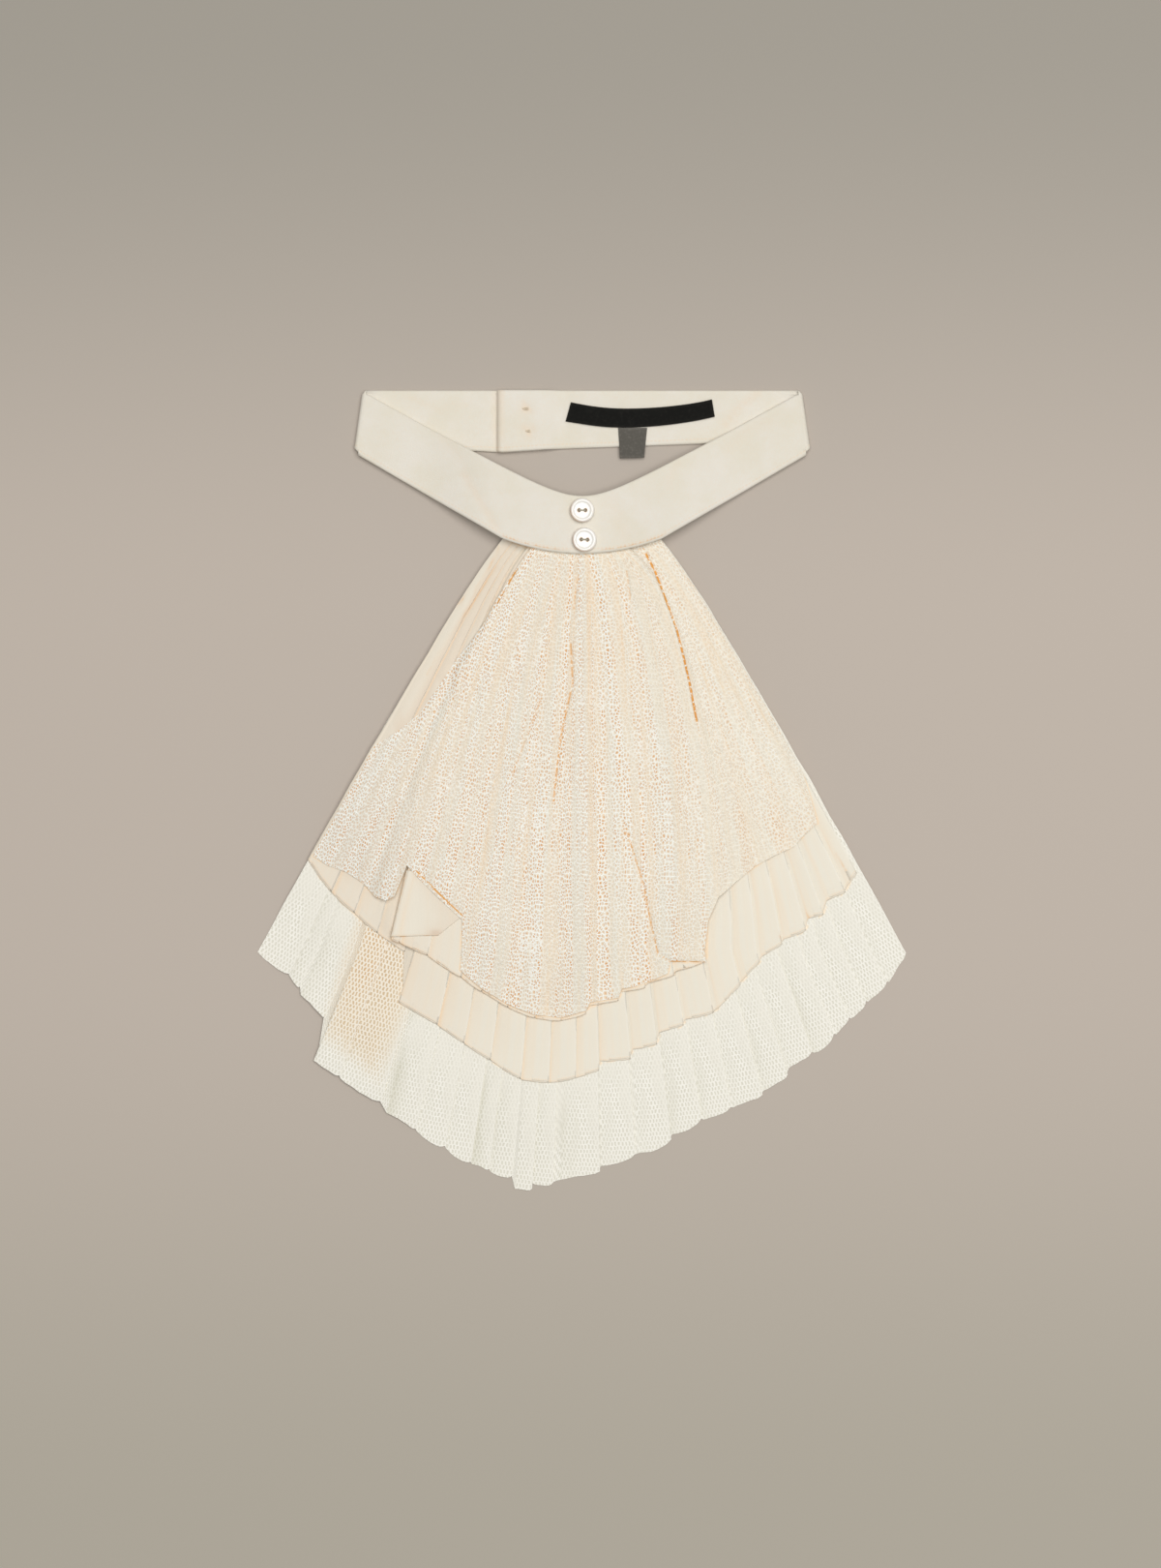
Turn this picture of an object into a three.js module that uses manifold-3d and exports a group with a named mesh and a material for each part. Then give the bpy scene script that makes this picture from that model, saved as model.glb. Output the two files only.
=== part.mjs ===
// Pleated jabot, laid flat: a neck band, three tiers of pleated cloth, a lace overlay, two buttons.
// Millimetres, +X to the right as seen from above with the band at the top, +Y towards the band, +Z up.
// The origin is on the surface that the jabot lies on, under the middle of its outline.

import * as THREE from "three";
import { mergeVertices } from "three/addons/utils/BufferGeometryUtils.js";
import Module from "manifold-3d";

const wasm = await Module();
wasm.setup();

// Cloth
const WALL = 1.0;
const GAP = 0.3;
const BAND_WALL = 1.6;

// The pleats radiate from one point above the band and end at the hems
const POLE_Y = 159.3;
const SEAM_MIDDLE_Y = 97.7;
const SEAM_END_Y = 103.9;
const SEAM_HALF = 33;
const TUCK_UNDER_BAND = 4.5;
const ROWS = 12;
const CLOSEST_COLUMNS = THREE.MathUtils.degToRad(0.15);
const SOLVE_STEPS = 20;

// The pleats bend outwards on their way down, most at the angles in this table
const BEND_LENGTH = 170;
const BEND_START = 12;
const BENDS = table(
  ["degrees", "bend"],
  [
    [-31, -3],
    [-19.7, -8],
    [0, 0],
    [12.4, 19],
    [31, 3],
  ],
);

// A pleat stands higher towards the hem
const RISE_AT_SEAM = 0.5;
const RISE_MORE_AT_HEM = 0.9;
const RISE_LENGTH = 270;
const MIDDLE_SHARE = 0.55;
const MIDDLE_HEIGHT = 0.72;

// Each pleat's visible hem from where it comes out from under its left neighbour to its own fold,
// with the share of the full rise at both ends
const PLEAT_COLUMNS = ["startX", "startY", "endX", "endY", "startHeight", "endHeight"];
const NET_PLEATS = table(PLEAT_COLUMNS, [
  [-134.6, -67.0, -121.7, -76.5, 0.2, 0.9],
  [-121.0, -77.0, -117.3, -82.0, 0.1, 0.7],
  [-116.5, -84.5, -106.7, -94.9, 0.0, 0.5],
  [-111.1, -111.7, -100.7, -118.7, 0.9, 1.0],
  [-100.0, -119.2, -83.5, -129.5, 0.0, 1.0],
  [-81.0, -133.5, -69.0, -140.8, 0.0, 1.0],
  [-68.5, -141.2, -57.0, -148.0, 0.0, 1.0],
  [-56.5, -148.3, -46.2, -154.5, 0.0, 1.0],
  [-45.7, -154.8, -38.6, -157.6, 0.0, 0.9],
  [-38.1, -157.9, -28.9, -160.1, 0.0, 0.8],
  [-27.9, -165.0, -20.9, -165.9, 0.4, 1.0],
  [-20.7, -162.7, -12.1, -163.2, 0.2, 0.9],
  [-8.5, -161.1, 7.3, -158.6, 0.0, 1.0],
  [7.9, -155.5, 22.0, -151.5, 0.0, 1.0],
  [24.1, -149.9, 36.9, -145.3, 0.0, 1.0],
  [37.2, -142.3, 49.6, -136.5, 0.0, 1.0],
  [50.2, -136.2, 62.0, -131.5, 0.0, 0.8],
  [62.6, -131.2, 74.9, -126.9, 0.0, 1.0],
  [75.3, -124.2, 85.3, -118.5, 0.0, 1.0],
  [85.7, -114.9, 95.5, -109.1, 0.0, 1.0],
  [96.1, -108.6, 104.7, -101.5, 0.0, 0.8],
  [105.2, -101.0, 110.9, -94.8, 0.0, 0.9],
  [111.4, -94.3, 118.0, -87.9, 0.0, 1.0],
  [118.6, -87.4, 126.7, -80.0, 0.0, 0.8],
  [127.3, -79.4, 134.6, -68.0, 0.0, 0.8],
]);
const LOWER_PLEATS = table(PLEAT_COLUMNS, [
  [-113.6, -28.5, -103.9, -42.2, 0.3, 1.0],
  [-103.3, -42.6, -94.3, -50.8, 0.0, 0.9],
  [-93.8, -51.2, -84.7, -59.1, 0.0, 1.0],
  [-84.2, -59.5, -73.5, -66.8, 0.0, 0.6],
  [-75.9, -87.7, -60.0, -97.0, 0.6, 1.0],
  [-59.5, -97.3, -49.0, -104.6, 0.0, 1.0],
  [-48.5, -104.9, -38.0, -111.6, 0.0, 1.0],
  [-37.5, -111.9, -25.5, -119.5, 0.0, 1.0],
  [-25.0, -119.7, -14.0, -121.0, 0.0, 0.9],
  [-13.5, -120.9, -2.7, -119.0, 0.0, 1.0],
  [-2.2, -118.8, 6.9, -115.9, 0.0, 1.0],
  [7.5, -111.9, 20.0, -111.2, 0.0, 1.0],
  [21.0, -107.0, 31.0, -105.0, 0.0, 1.0],
  [32.0, -100.0, 42.0, -97.3, 0.0, 1.0],
  [43.0, -94.5, 54.5, -92.0, 0.0, 1.0],
  [56.3, -90.0, 65.5, -80.5, 0.0, 1.0],
  [66.3, -78.5, 73.5, -71.0, 0.0, 0.9],
  [74.5, -68.5, 82.7, -63.7, 0.0, 1.0],
  [83.5, -61.5, 92.7, -58.0, 0.0, 0.9],
  [93.5, -53.0, 99.9, -51.5, 0.0, 1.0],
  [101.3, -45.5, 109.1, -42.3, 0.0, 1.0],
  [110.0, -39.0, 113.8, -34.4, 0.0, 0.8],
]);
const UPPER_PLEATS = table(PLEAT_COLUMNS, [
  [-78.9, -61.4, -75.6, -62.8, 1.0, 1.0],
  [-74.6, -63.3, -64.0, -68.2, 0.4, 1.0],
  [-63.4, -68.6, -50.0, -77.3, 0.1, 1.0],
  [-49.5, -77.6, -41.5, -83.2, 0.0, 1.0],
  [-41.0, -83.5, -30.7, -89.7, 0.0, 1.0],
  [-30.2, -89.9, -19.5, -94.0, 0.0, 1.0],
  [-19.0, -94.1, -8.7, -95.2, 0.0, 0.9],
  [-8.2, -95.0, 1.5, -92.3, 0.0, 1.0],
  [3.2, -88.9, 15.0, -86.9, 0.0, 1.0],
  [16.1, -83.2, 26.0, -81.6, 0.0, 1.0],
  [27.9, -79.3, 38.0, -76.4, 0.0, 1.0],
  [39.0, -74.5, 50.4, -70.9, 0.0, 1.0],
]);

// The lace lies in soft folds: where each ridge or hollow meets the hem, where it begins below the
// seam, its share of the full rise, and which layer it lies on, 3 on the upper tier and 2 beside it
const AT_SEAM = null;
const LACE_FOLDS = table(["x", "y", "topY", "height", "level"], [
  [-111.4, -27.0, 19.0, 0.2, 2],
  [-105.1, -31.0, 24.0, 0.9, 2],
  [-97.5, -33.7, 32.0, 0.1, 2],
  [-93.0, -36.6, 46.0, 0.8, 2],
  [-89.9, -38.9, 60.0, 0.1, 2],
  [-85.5, -43.7, 67.0, 0.8, 2],
  [-81.1, -45.3, 73.0, 0.1, 2],
  [-77.5, -43.5, 77.0, 0.4, 2.5],
  [-72.3, -30.8, 80.0, 0.8, 3],
  [-66.0, -37.6, AT_SEAM, 0.6, 3],
  [-60.0, -43.5, AT_SEAM, 0.9, 3],
  [-49.5, -53.3, AT_SEAM, 0.3, 3],
  [-50.3, -74.1, AT_SEAM, 0.3, 3],
  [-41.5, -81.7, AT_SEAM, 1.0, 3],
  [-36.0, -85.0, AT_SEAM, 0.7, 3],
  [-30.7, -88.2, AT_SEAM, 0.1, 3],
  [-25.0, -90.4, AT_SEAM, 0.8, 3],
  [-19.5, -92.5, AT_SEAM, 0.9, 3],
  [-14.0, -93.1, AT_SEAM, 0.0, 3],
  [-8.7, -93.7, AT_SEAM, 0.3, 3],
  [-3.5, -92.2, AT_SEAM, 1.0, 3],
  [1.5, -90.8, AT_SEAM, 0.8, 3],
  [3.2, -87.4, AT_SEAM, 0.2, 3],
  [9.0, -86.4, AT_SEAM, 0.0, 3],
  [15.0, -85.4, AT_SEAM, 0.9, 3],
  [16.4, -81.7, AT_SEAM, 1.0, 3],
  [22.0, -80.8, AT_SEAM, 0.3, 3],
  [27.0, -79.0, AT_SEAM, 0.1, 3],
  [35.3, -75.5, AT_SEAM, 1.0, 3],
  [36.3, -70.6, AT_SEAM, 1.0, 3],
  [43.0, -70.8, AT_SEAM, 0.3, 3],
  [51.3, -70.9, AT_SEAM, 0.6, 3],
  [51.5, -53.3, AT_SEAM, 0.6, 2.6],
  [56.1, -44.1, AT_SEAM, 0.1, 2],
  [63.5, -37.7, AT_SEAM, 0.9, 2],
  [71.3, -31.3, AT_SEAM, 0.1, 2],
  [79.0, -27.0, AT_SEAM, 0.9, 2],
  [87.3, -23.3, AT_SEAM, 0.1, 2],
  [92.0, -18.0, AT_SEAM, 0.8, 2],
  [97.3, -13.3, AT_SEAM, 0.2, 2],
  [91.3, 6.7, AT_SEAM, 0.7, 2],
  [79.0, 28.7, AT_SEAM, 0.3, 2],
]);

// One more pleat of georgette is caught under the net at the lower left
const TUCKED_OUTLINE = table(["x", "y"], [
  [-87.4, -56.0],
  [-72.5, -68.5],
  [-75.1, -83.0],
  [-80.5, -96.0],
  [-85.5, -112.0],
  [-101.5, -99.0],
]);

// All that lies over the tucked pleat is lifted clear of it, on a long oval with soft sides
const TUCK_LIFT = WALL + GAP;
const LIFT_X = -87;
const LIFT_Y = -84;
const LIFT_LEAN = THREE.MathUtils.degToRad(21.8);
const LIFT_HALF_LENGTH = 29;
const LIFT_HALF_WIDTH = 14;
const LIFT_RAMP = 42;

// The band is one strip, folded flat at both sides and lapped at the back
const BAND_TOP_Y = 165.7;
const FOLD_TOP_X = 91.1;
const FOLD_FOOT_X = 94.4;
const FOLD_FOOT_Y = 139.9;
const FOLD_CORNER = 1.3;
const FOLD_STEPS = 6;
const FRONT_STEPS = 36;
const FRONT_SLOPE = 0.584;
const NECK_LOW_Y = 121.5;
const NECK_ROUNDING = 8;
const NECK_SLOPE = 0.56;
const FRONT_CENTRE_LIFT = 7.2;
const FRONT_FLAT_HALF = 36;
const FRONT_RAMP = 34;
const LAP_EDGE_X = -35;
const UNDERLAP_END_X = -17;
const LAP_RAMP_END_X = -8;
const LEFT_BACK_X = [-25, -35, -50, -65, -80];
const RIGHT_BACK_X = [80, 65, 50, 35, 20, 8, -2, LAP_RAMP_END_X];
const LAP_X = [UNDERLAP_END_X + 0.5, -24, -30, LAP_EDGE_X];
const BACK_FOOT = table(["x", "y"], [
  [-94.4, 139.9],
  [-43, 140.5],
  [-33, 139.9],
  [-12, 141.3],
  [15, 142.3],
  [54, 143.7],
  [94.4, 139.9],
]);

// What is sewn to the inside of the band's back, left bare
const LABEL_STATIONS = table(["topX", "topY", "footX", "footY"], [
  [-4.7, 160.7, -6.9, 152.7],
  [8.0, 158.6, 6.8, 150.7],
  [21.6, 158.1, 20.8, 150.2],
  [38.0, 159.2, 38.0, 151.6],
  [53.7, 161.9, 54.9, 154.7],
]);
const TAB_OUTLINE = table(["x", "y"], [
  [14.9, 149.8],
  [15.6, 137.5],
  [25.7, 137.8],
  [26.9, 149.8],
]);

// Buttons
const BUTTON_RADIUS = 5;
const BUTTON_THICKNESS = 2.2;
const BUTTON_EDGE = 0.6;
const BUTTON_DISH_RADIUS = 3.4;
const BUTTON_DISH_SLOPE = 0.4;
const BUTTON_DISH_DEPTH = 0.5;
const BUTTON_SEGMENTS = 40;
const HOLE_RADIUS = 0.75;
const HOLE_OFFSET = 1.35;
const HOLE_SIDES = 12;
const MERGE_TOLERANCE = 1e-4;
const BUTTONS = table(["name", "x", "y"], [
  ["button_upper", 0, 115.4],
  ["button_lower", 0.9, 103.3],
]);

// Names the columns of a table of rows
function table(names, rows) {
  return rows.map((row) => Object.fromEntries(names.map((name, i) => [name, row[i]])));
}

// The value at x of the straight lines between a table's rows
function interpolate(rows, from, to, x) {
  const after = rows.findIndex((row) => row[from] >= x);
  if (after === 0) return rows[0][to];
  if (after < 0) return rows[rows.length - 1][to];
  const share = THREE.MathUtils.inverseLerp(rows[after - 1][from], rows[after][from], x);
  return THREE.MathUtils.lerp(rows[after - 1][to], rows[after][to], share);
}

// The height of one pleat over its hollow, at y
function rise(y) {
  const share = THREE.MathUtils.clamp((SEAM_END_Y - y) / RISE_LENGTH, 0, 1);
  return RISE_AT_SEAM + RISE_MORE_AT_HEM * share;
}

// The underside of a level's lowest cloth, at y
function levelBase(level, y) {
  return level * (WALL + rise(y) + GAP);
}

// How far the tucked pleat lifts the cloth over it
function tuckLift(x, y) {
  const offset = new THREE.Vector2(x - LIFT_X, y - LIFT_Y);
  offset.rotateAround(new THREE.Vector2(0, 0), LIFT_LEAN);
  const beyond = Math.hypot(
    Math.max(Math.abs(offset.x) - LIFT_HALF_WIDTH, 0),
    Math.max(Math.abs(offset.y) - LIFT_HALF_LENGTH, 0),
  );
  return TUCK_LIFT * (1 - THREE.MathUtils.smoothstep(beyond, 0, LIFT_RAMP));
}

// How far sideways the pleats at an angle from the pole are bent, at y
function bend(angle, y) {
  const way = THREE.MathUtils.clamp((SEAM_END_Y - y) / BEND_LENGTH, 0, 1);
  const shape = (1 - way ** 3) * (1 - Math.exp(-BEND_START * way));
  return shape * interpolate(BENDS, "degrees", "bend", THREE.MathUtils.radToDeg(angle));
}

function fanX(angle, y) {
  return Math.tan(angle) * (POLE_Y - y) + bend(angle, y);
}

// The angle from the pole of the pleat line through a point
function fanAngle(x, y) {
  let angle = Math.atan(x / (POLE_Y - y));
  for (let step = 0; step < SOLVE_STEPS; step += 1) {
    angle = Math.atan((x - bend(angle, y)) / (POLE_Y - y));
  }
  return angle;
}

// Where a pleat line starts under the band, above the seam
function seamY(angle) {
  let y = SEAM_MIDDLE_Y;
  for (let step = 0; step < SOLVE_STEPS; step += 1) {
    const side = Math.min(Math.abs(fanX(angle, y)) / SEAM_HALF, 1);
    y = THREE.MathUtils.lerp(SEAM_MIDDLE_Y, SEAM_END_Y, side ** 2) + TUCK_UNDER_BAND;
  }
  return y;
}

// Closes a grid of upper and lower points into one body; grids are lists of columns of points
function closedSheet(upper, lower) {
  const columns = upper.length;
  const rows = upper[0].length;
  const points = [...upper.flat(), ...lower.flat()];
  const under = columns * rows;
  const at = (column, row) => column * rows + row;
  const index = [];
  const quad = (a, b, c, d) => index.push(a, b, c, a, c, d);
  for (let c = 0; c + 1 < columns; c += 1) {
    for (let r = 0; r + 1 < rows; r += 1) {
      quad(at(c, r), at(c, r + 1), at(c + 1, r + 1), at(c + 1, r));
      quad(under + at(c, r), under + at(c + 1, r), under + at(c + 1, r + 1), under + at(c, r + 1));
    }
  }
  const rim = (a, b) => quad(a, under + a, under + b, b);
  for (let r = 0; r + 1 < rows; r += 1) {
    rim(at(0, r), at(0, r + 1));
    rim(at(columns - 1, r + 1), at(columns - 1, r));
  }
  for (let c = 0; c + 1 < columns; c += 1) {
    rim(at(c, rows - 1), at(c + 1, rows - 1));
    rim(at(c + 1, 0), at(c, 0));
  }
  const geometry = new THREE.BufferGeometry();
  const numbers = points.flatMap((point) => point.toArray());
  geometry.setAttribute("position", new THREE.Float32BufferAttribute(numbers, 3));
  geometry.setIndex(index);
  geometry.computeVertexNormals();
  return geometry;
}

// Three lines down each pleat: its hollow, its middle and its fold
function pleatLines(pleats, level) {
  const shares = [
    [0, 0],
    [MIDDLE_SHARE, MIDDLE_HEIGHT],
    [1, 1],
  ];
  return pleats.flatMap((pleat) =>
    shares.map(([along, up]) => ({
      x: THREE.MathUtils.lerp(pleat.startX, pleat.endX, along),
      y: THREE.MathUtils.lerp(pleat.startY, pleat.endY, along),
      topY: AT_SEAM,
      height: THREE.MathUtils.lerp(pleat.startHeight, pleat.endHeight, up),
      level,
    })),
  );
}

// A fan of cloth from its lines; a fan that rests on the surface is flat underneath
function fan(lines, restsFlat) {
  const upper = [];
  const lower = [];
  let last = -Infinity;
  for (const line of lines) {
    const angle = Math.max(fanAngle(line.x, line.y), last + CLOSEST_COLUMNS);
    last = angle;
    const top = line.topY === AT_SEAM ? seamY(angle) : line.topY;
    const upperColumn = [];
    const lowerColumn = [];
    for (let row = 0; row < ROWS; row += 1) {
      const way = row / (ROWS - 1);
      const y = THREE.MathUtils.lerp(top, line.y, way);
      const x = fanX(angle, y);
      const lift = tuckLift(x, y);
      const cloth = levelBase(line.level, y) + rise(y) * line.height + lift;
      lowerColumn.push(new THREE.Vector3(x, y, restsFlat ? lift : cloth));
      upperColumn.push(new THREE.Vector3(x, y, cloth + WALL));
    }
    upper.push(upperColumn);
    lower.push(lowerColumn);
  }
  return closedSheet(upper, lower);
}

// A flat piece with the outline of a table's points, from one height up
function flatPiece(outline, base) {
  const shape = new THREE.Shape(outline.map(({ x, y }) => new THREE.Vector2(x, y)));
  const geometry = new THREE.ExtrudeGeometry(shape, { depth: WALL, bevelEnabled: false });
  geometry.translate(0, 0, base);
  return geometry;
}

// The front of the band at a share of its way from the left fold to the right one
function frontStation(way) {
  const innerX = THREE.MathUtils.lerp(-FOLD_TOP_X, FOLD_TOP_X, way);
  const outerX = THREE.MathUtils.lerp(-FOLD_FOOT_X, FOLD_FOOT_X, way);
  const innerY = NECK_LOW_Y + Math.hypot(NECK_ROUNDING, NECK_SLOPE * innerX) - NECK_ROUNDING;
  const beyond = Math.abs(outerX) - SEAM_HALF;
  const outerY =
    beyond > 0
      ? SEAM_END_Y + FRONT_SLOPE * beyond
      : THREE.MathUtils.lerp(SEAM_MIDDLE_Y, SEAM_END_Y, (outerX / SEAM_HALF) ** 2);
  const climb = THREE.MathUtils.smoothstep(
    FRONT_FLAT_HALF + FRONT_RAMP - Math.abs(outerX),
    0,
    FRONT_RAMP,
  );
  const base = THREE.MathUtils.lerp(BAND_WALL + GAP, FRONT_CENTRE_LIFT, climb);
  return {
    inner: new THREE.Vector3(innerX, innerY, base + BAND_WALL / 2),
    outer: new THREE.Vector3(outerX, outerY, base + BAND_WALL / 2),
    normal: new THREE.Vector3(0, 0, 1),
  };
}

// The back of the band, inside of the neck up, at x and at a height
function backStation(x, base) {
  const middle = base + BAND_WALL / 2;
  return {
    inner: new THREE.Vector3(x, BAND_TOP_Y, middle),
    outer: new THREE.Vector3(x, interpolate(BACK_FOOT, "x", "y", x), middle),
    normal: new THREE.Vector3(0, 0, -1),
  };
}

// A half turn from the back, on the surface, to the front over it; side is -1 on the left, 1 on the right
function foldStations(side) {
  const turnRadius = (BAND_WALL + GAP) / 2;
  const reach = turnRadius + BAND_WALL / 2;
  const centre = BAND_WALL / 2 + turnRadius;
  const stations = [];
  for (let step = 0; step <= FOLD_STEPS; step += 1) {
    const turn = (Math.PI * step) / FOLD_STEPS;
    const out = Math.sin(turn);
    const normal = new THREE.Vector3(side * out, 0, -Math.cos(turn));
    const offset = side * (turnRadius * out - reach);
    const z = centre - turnRadius * Math.cos(turn);
    const corner = FOLD_CORNER * out;
    stations.push({
      inner: new THREE.Vector3(side * FOLD_TOP_X + offset, BAND_TOP_Y - corner, z),
      outer: new THREE.Vector3(side * FOLD_FOOT_X + offset, FOLD_FOOT_Y + corner, z),
      normal,
    });
  }
  return stations;
}

// The band's stations from the underlap round the neck to the lap, with the outside of the neck as normal
function bandStations() {
  const left = LEFT_BACK_X.map((x) => backStation(x, 0));
  const right = RIGHT_BACK_X.map((x) => backStation(x, 0));
  const lap = LAP_X.map((x) => backStation(x, BAND_WALL + GAP));
  const front = [];
  for (let step = 1; step < FRONT_STEPS; step += 1) {
    front.push(frontStation(step / FRONT_STEPS));
  }
  return [
    backStation(UNDERLAP_END_X, 0),
    ...left,
    ...foldStations(-1),
    ...front,
    ...foldStations(1).reverse(),
    ...right,
    ...lap,
  ];
}

function band() {
  const stations = bandStations();
  const side = (share) =>
    stations.map(({ inner, outer, normal }) =>
      [inner, outer].map((edge) => edge.clone().addScaledVector(normal, (share * BAND_WALL) / 2)),
    );
  return closedSheet(side(1), side(-1));
}

function label() {
  const base = BAND_WALL + GAP;
  const side = (z) =>
    LABEL_STATIONS.map(({ topX, topY, footX, footY }) => [
      new THREE.Vector3(topX, topY, z),
      new THREE.Vector3(footX, footY, z),
    ]);
  return closedSheet(side(base + WALL), side(base));
}

// A geometry as a solid that can be cut
function solid(geometry) {
  const bare = geometry.clone();
  bare.deleteAttribute("normal");
  bare.deleteAttribute("uv");
  const merged = mergeVertices(bare, MERGE_TOLERANCE);
  return new wasm.Manifold(
    new wasm.Mesh({
      numProp: 3,
      vertProperties: new Float32Array(merged.attributes.position.array),
      triVerts: new Uint32Array(merged.index.array),
    }),
  );
}

function geometryOf(body) {
  const { vertProperties, triVerts } = body.getMesh();
  const geometry = new THREE.BufferGeometry();
  geometry.setAttribute("position", new THREE.Float32BufferAttribute(vertProperties, 3));
  geometry.setIndex(new THREE.Uint32BufferAttribute(triVerts, 1));
  geometry.computeVertexNormals();
  return geometry;
}

// A round button with a dished middle and two holes, its underside at z = 0
function button() {
  const top = BUTTON_THICKNESS;
  const profile = [
    [0, 0],
    [BUTTON_RADIUS - BUTTON_EDGE, 0],
    [BUTTON_RADIUS, BUTTON_EDGE],
    [BUTTON_RADIUS, top - BUTTON_EDGE],
    [BUTTON_RADIUS - BUTTON_EDGE, top],
    [BUTTON_DISH_RADIUS + BUTTON_DISH_SLOPE, top],
    [BUTTON_DISH_RADIUS, top - BUTTON_DISH_DEPTH],
    [0, top - BUTTON_DISH_DEPTH],
  ].map(([x, y]) => new THREE.Vector2(x, y));
  const disc = new THREE.LatheGeometry(profile, BUTTON_SEGMENTS).rotateX(Math.PI / 2);
  let body = solid(disc);
  for (const side of [-1, 1]) {
    const hole = new THREE.CylinderGeometry(HOLE_RADIUS, HOLE_RADIUS, 2 * top, HOLE_SIDES);
    hole.rotateX(Math.PI / 2).translate(side * HOLE_OFFSET, 0, top / 2);
    body = body.subtract(solid(hole));
  }
  return geometryOf(body);
}

// Finishes
const net = new THREE.MeshStandardMaterial({ color: 0xe8e6d9, roughness: 0.8, metalness: 0 });
const georgette = new THREE.MeshStandardMaterial({ color: 0xeee2cc, roughness: 0.75, metalness: 0 });
const lace = new THREE.MeshStandardMaterial({ color: 0xe6e3d7, roughness: 0.8, metalness: 0 });
const crepe = new THREE.MeshStandardMaterial({ color: 0xe4deca, roughness: 0.7, metalness: 0 });
const blackTape = new THREE.MeshStandardMaterial({ color: 0x161616, roughness: 0.7, metalness: 0 });
const greyTape = new THREE.MeshStandardMaterial({ color: 0x55534e, roughness: 0.7, metalness: 0 });
const pearl = new THREE.MeshStandardMaterial({ color: 0xf8f6f0, roughness: 0.25, metalness: 0 });

const jabot = new THREE.Group();

function add(name, geometry, material) {
  const mesh = new THREE.Mesh(geometry, material);
  mesh.name = name;
  jabot.add(mesh);
  return mesh;
}

// Pieces, from the surface up
add("net_tier", fan(pleatLines(NET_PLEATS, 0), true), net);
add("tucked_pleat", flatPiece(TUCKED_OUTLINE, 0), georgette);
add("lower_tier", fan(pleatLines(LOWER_PLEATS, 1), false), georgette);
add("upper_tier", fan(pleatLines(UPPER_PLEATS, 2), false), georgette);
add("lace_overlay", fan(LACE_FOLDS, false), lace);
add("neck_band", band(), crepe);
add("label", label(), blackTape);
add("size_tab", flatPiece(TAB_OUTLINE, BAND_WALL + GAP), greyTape);
for (const { name, x, y } of BUTTONS) {
  const piece = add(name, button(), pearl);
  piece.position.set(x, y, FRONT_CENTRE_LIFT + BAND_WALL + GAP);
}

export default jabot;
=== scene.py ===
"""Looks of a pleated jabot laid flat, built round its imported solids.

Sizes and places are in millimetres inside the classes and in metres in the meshes.
"""

from __future__ import annotations

import logging
import math
import random
from abc import ABC, abstractmethod
from dataclasses import astuple, dataclass, field, fields
from enum import Enum
from typing import ClassVar, Optional, Sequence, TypeVar, Union

import bmesh
import bpy
import numpy as np
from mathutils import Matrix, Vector, noise

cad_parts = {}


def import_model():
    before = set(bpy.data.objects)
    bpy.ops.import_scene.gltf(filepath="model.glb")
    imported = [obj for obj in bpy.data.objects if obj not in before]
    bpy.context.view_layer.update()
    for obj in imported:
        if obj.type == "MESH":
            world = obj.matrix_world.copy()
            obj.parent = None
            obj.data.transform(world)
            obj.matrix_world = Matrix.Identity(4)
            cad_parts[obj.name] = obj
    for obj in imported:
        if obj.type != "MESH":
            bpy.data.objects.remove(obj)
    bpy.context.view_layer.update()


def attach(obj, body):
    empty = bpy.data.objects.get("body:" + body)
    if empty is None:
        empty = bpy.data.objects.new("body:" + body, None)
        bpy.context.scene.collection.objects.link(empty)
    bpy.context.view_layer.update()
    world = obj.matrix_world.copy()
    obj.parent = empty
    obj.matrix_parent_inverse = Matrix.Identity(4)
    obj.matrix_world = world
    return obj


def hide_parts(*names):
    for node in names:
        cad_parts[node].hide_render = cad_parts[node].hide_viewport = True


LOG = logging.getLogger("jabot")
MM = 0.001
BODY = "root"
AT_SEAM = None
FAR = 9.0
GEORGETTE_WALL = 0.16

Array = np.ndarray
Thing = bpy.types.Object
Socket = bpy.types.NodeSocket
Number = Union[float, "Value"]
Colour = tuple[float, float, float]
Tone = Union[Colour, "Value"]
Point = tuple[float, float]
Place = tuple[float, float, float]
Kind = TypeVar("Kind")


def linear(red: int, green: int, blue: int) -> Colour:
    """The scene colour of a screen colour.

    Args:
        red: screen red, 0 to 255.
        green: screen green, 0 to 255.
        blue: screen blue, 0 to 255.

    Returns:
        The same colour in linear light.
    """

    def channel(value: int) -> float:
        """One channel in linear light."""
        share = value / 255
        return share / 12.92 if share <= 0.04045 else ((share + 0.055) / 1.055) ** 2.4

    return channel(red), channel(green), channel(blue)


def smooth(value: Array, start: float, stop: float) -> Array:
    """A soft step from 0 at start to 1 at stop, which may be the smaller."""
    share = np.clip((value - start) / (stop - start), 0, 1)
    return share * share * (3 - 2 * share)


def ripple(x: Array, y: Array, step_x: float, step_y: float, seed: float) -> Array:
    """Smooth noise over the cloth, from -1 to 1, with its bumps step_x and step_y apart."""
    flat = [noise.noise((a / step_x, b / step_y, seed)) for a, b in zip(x.ravel(), y.ravel())]
    return np.array(flat).reshape(x.shape)


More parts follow.
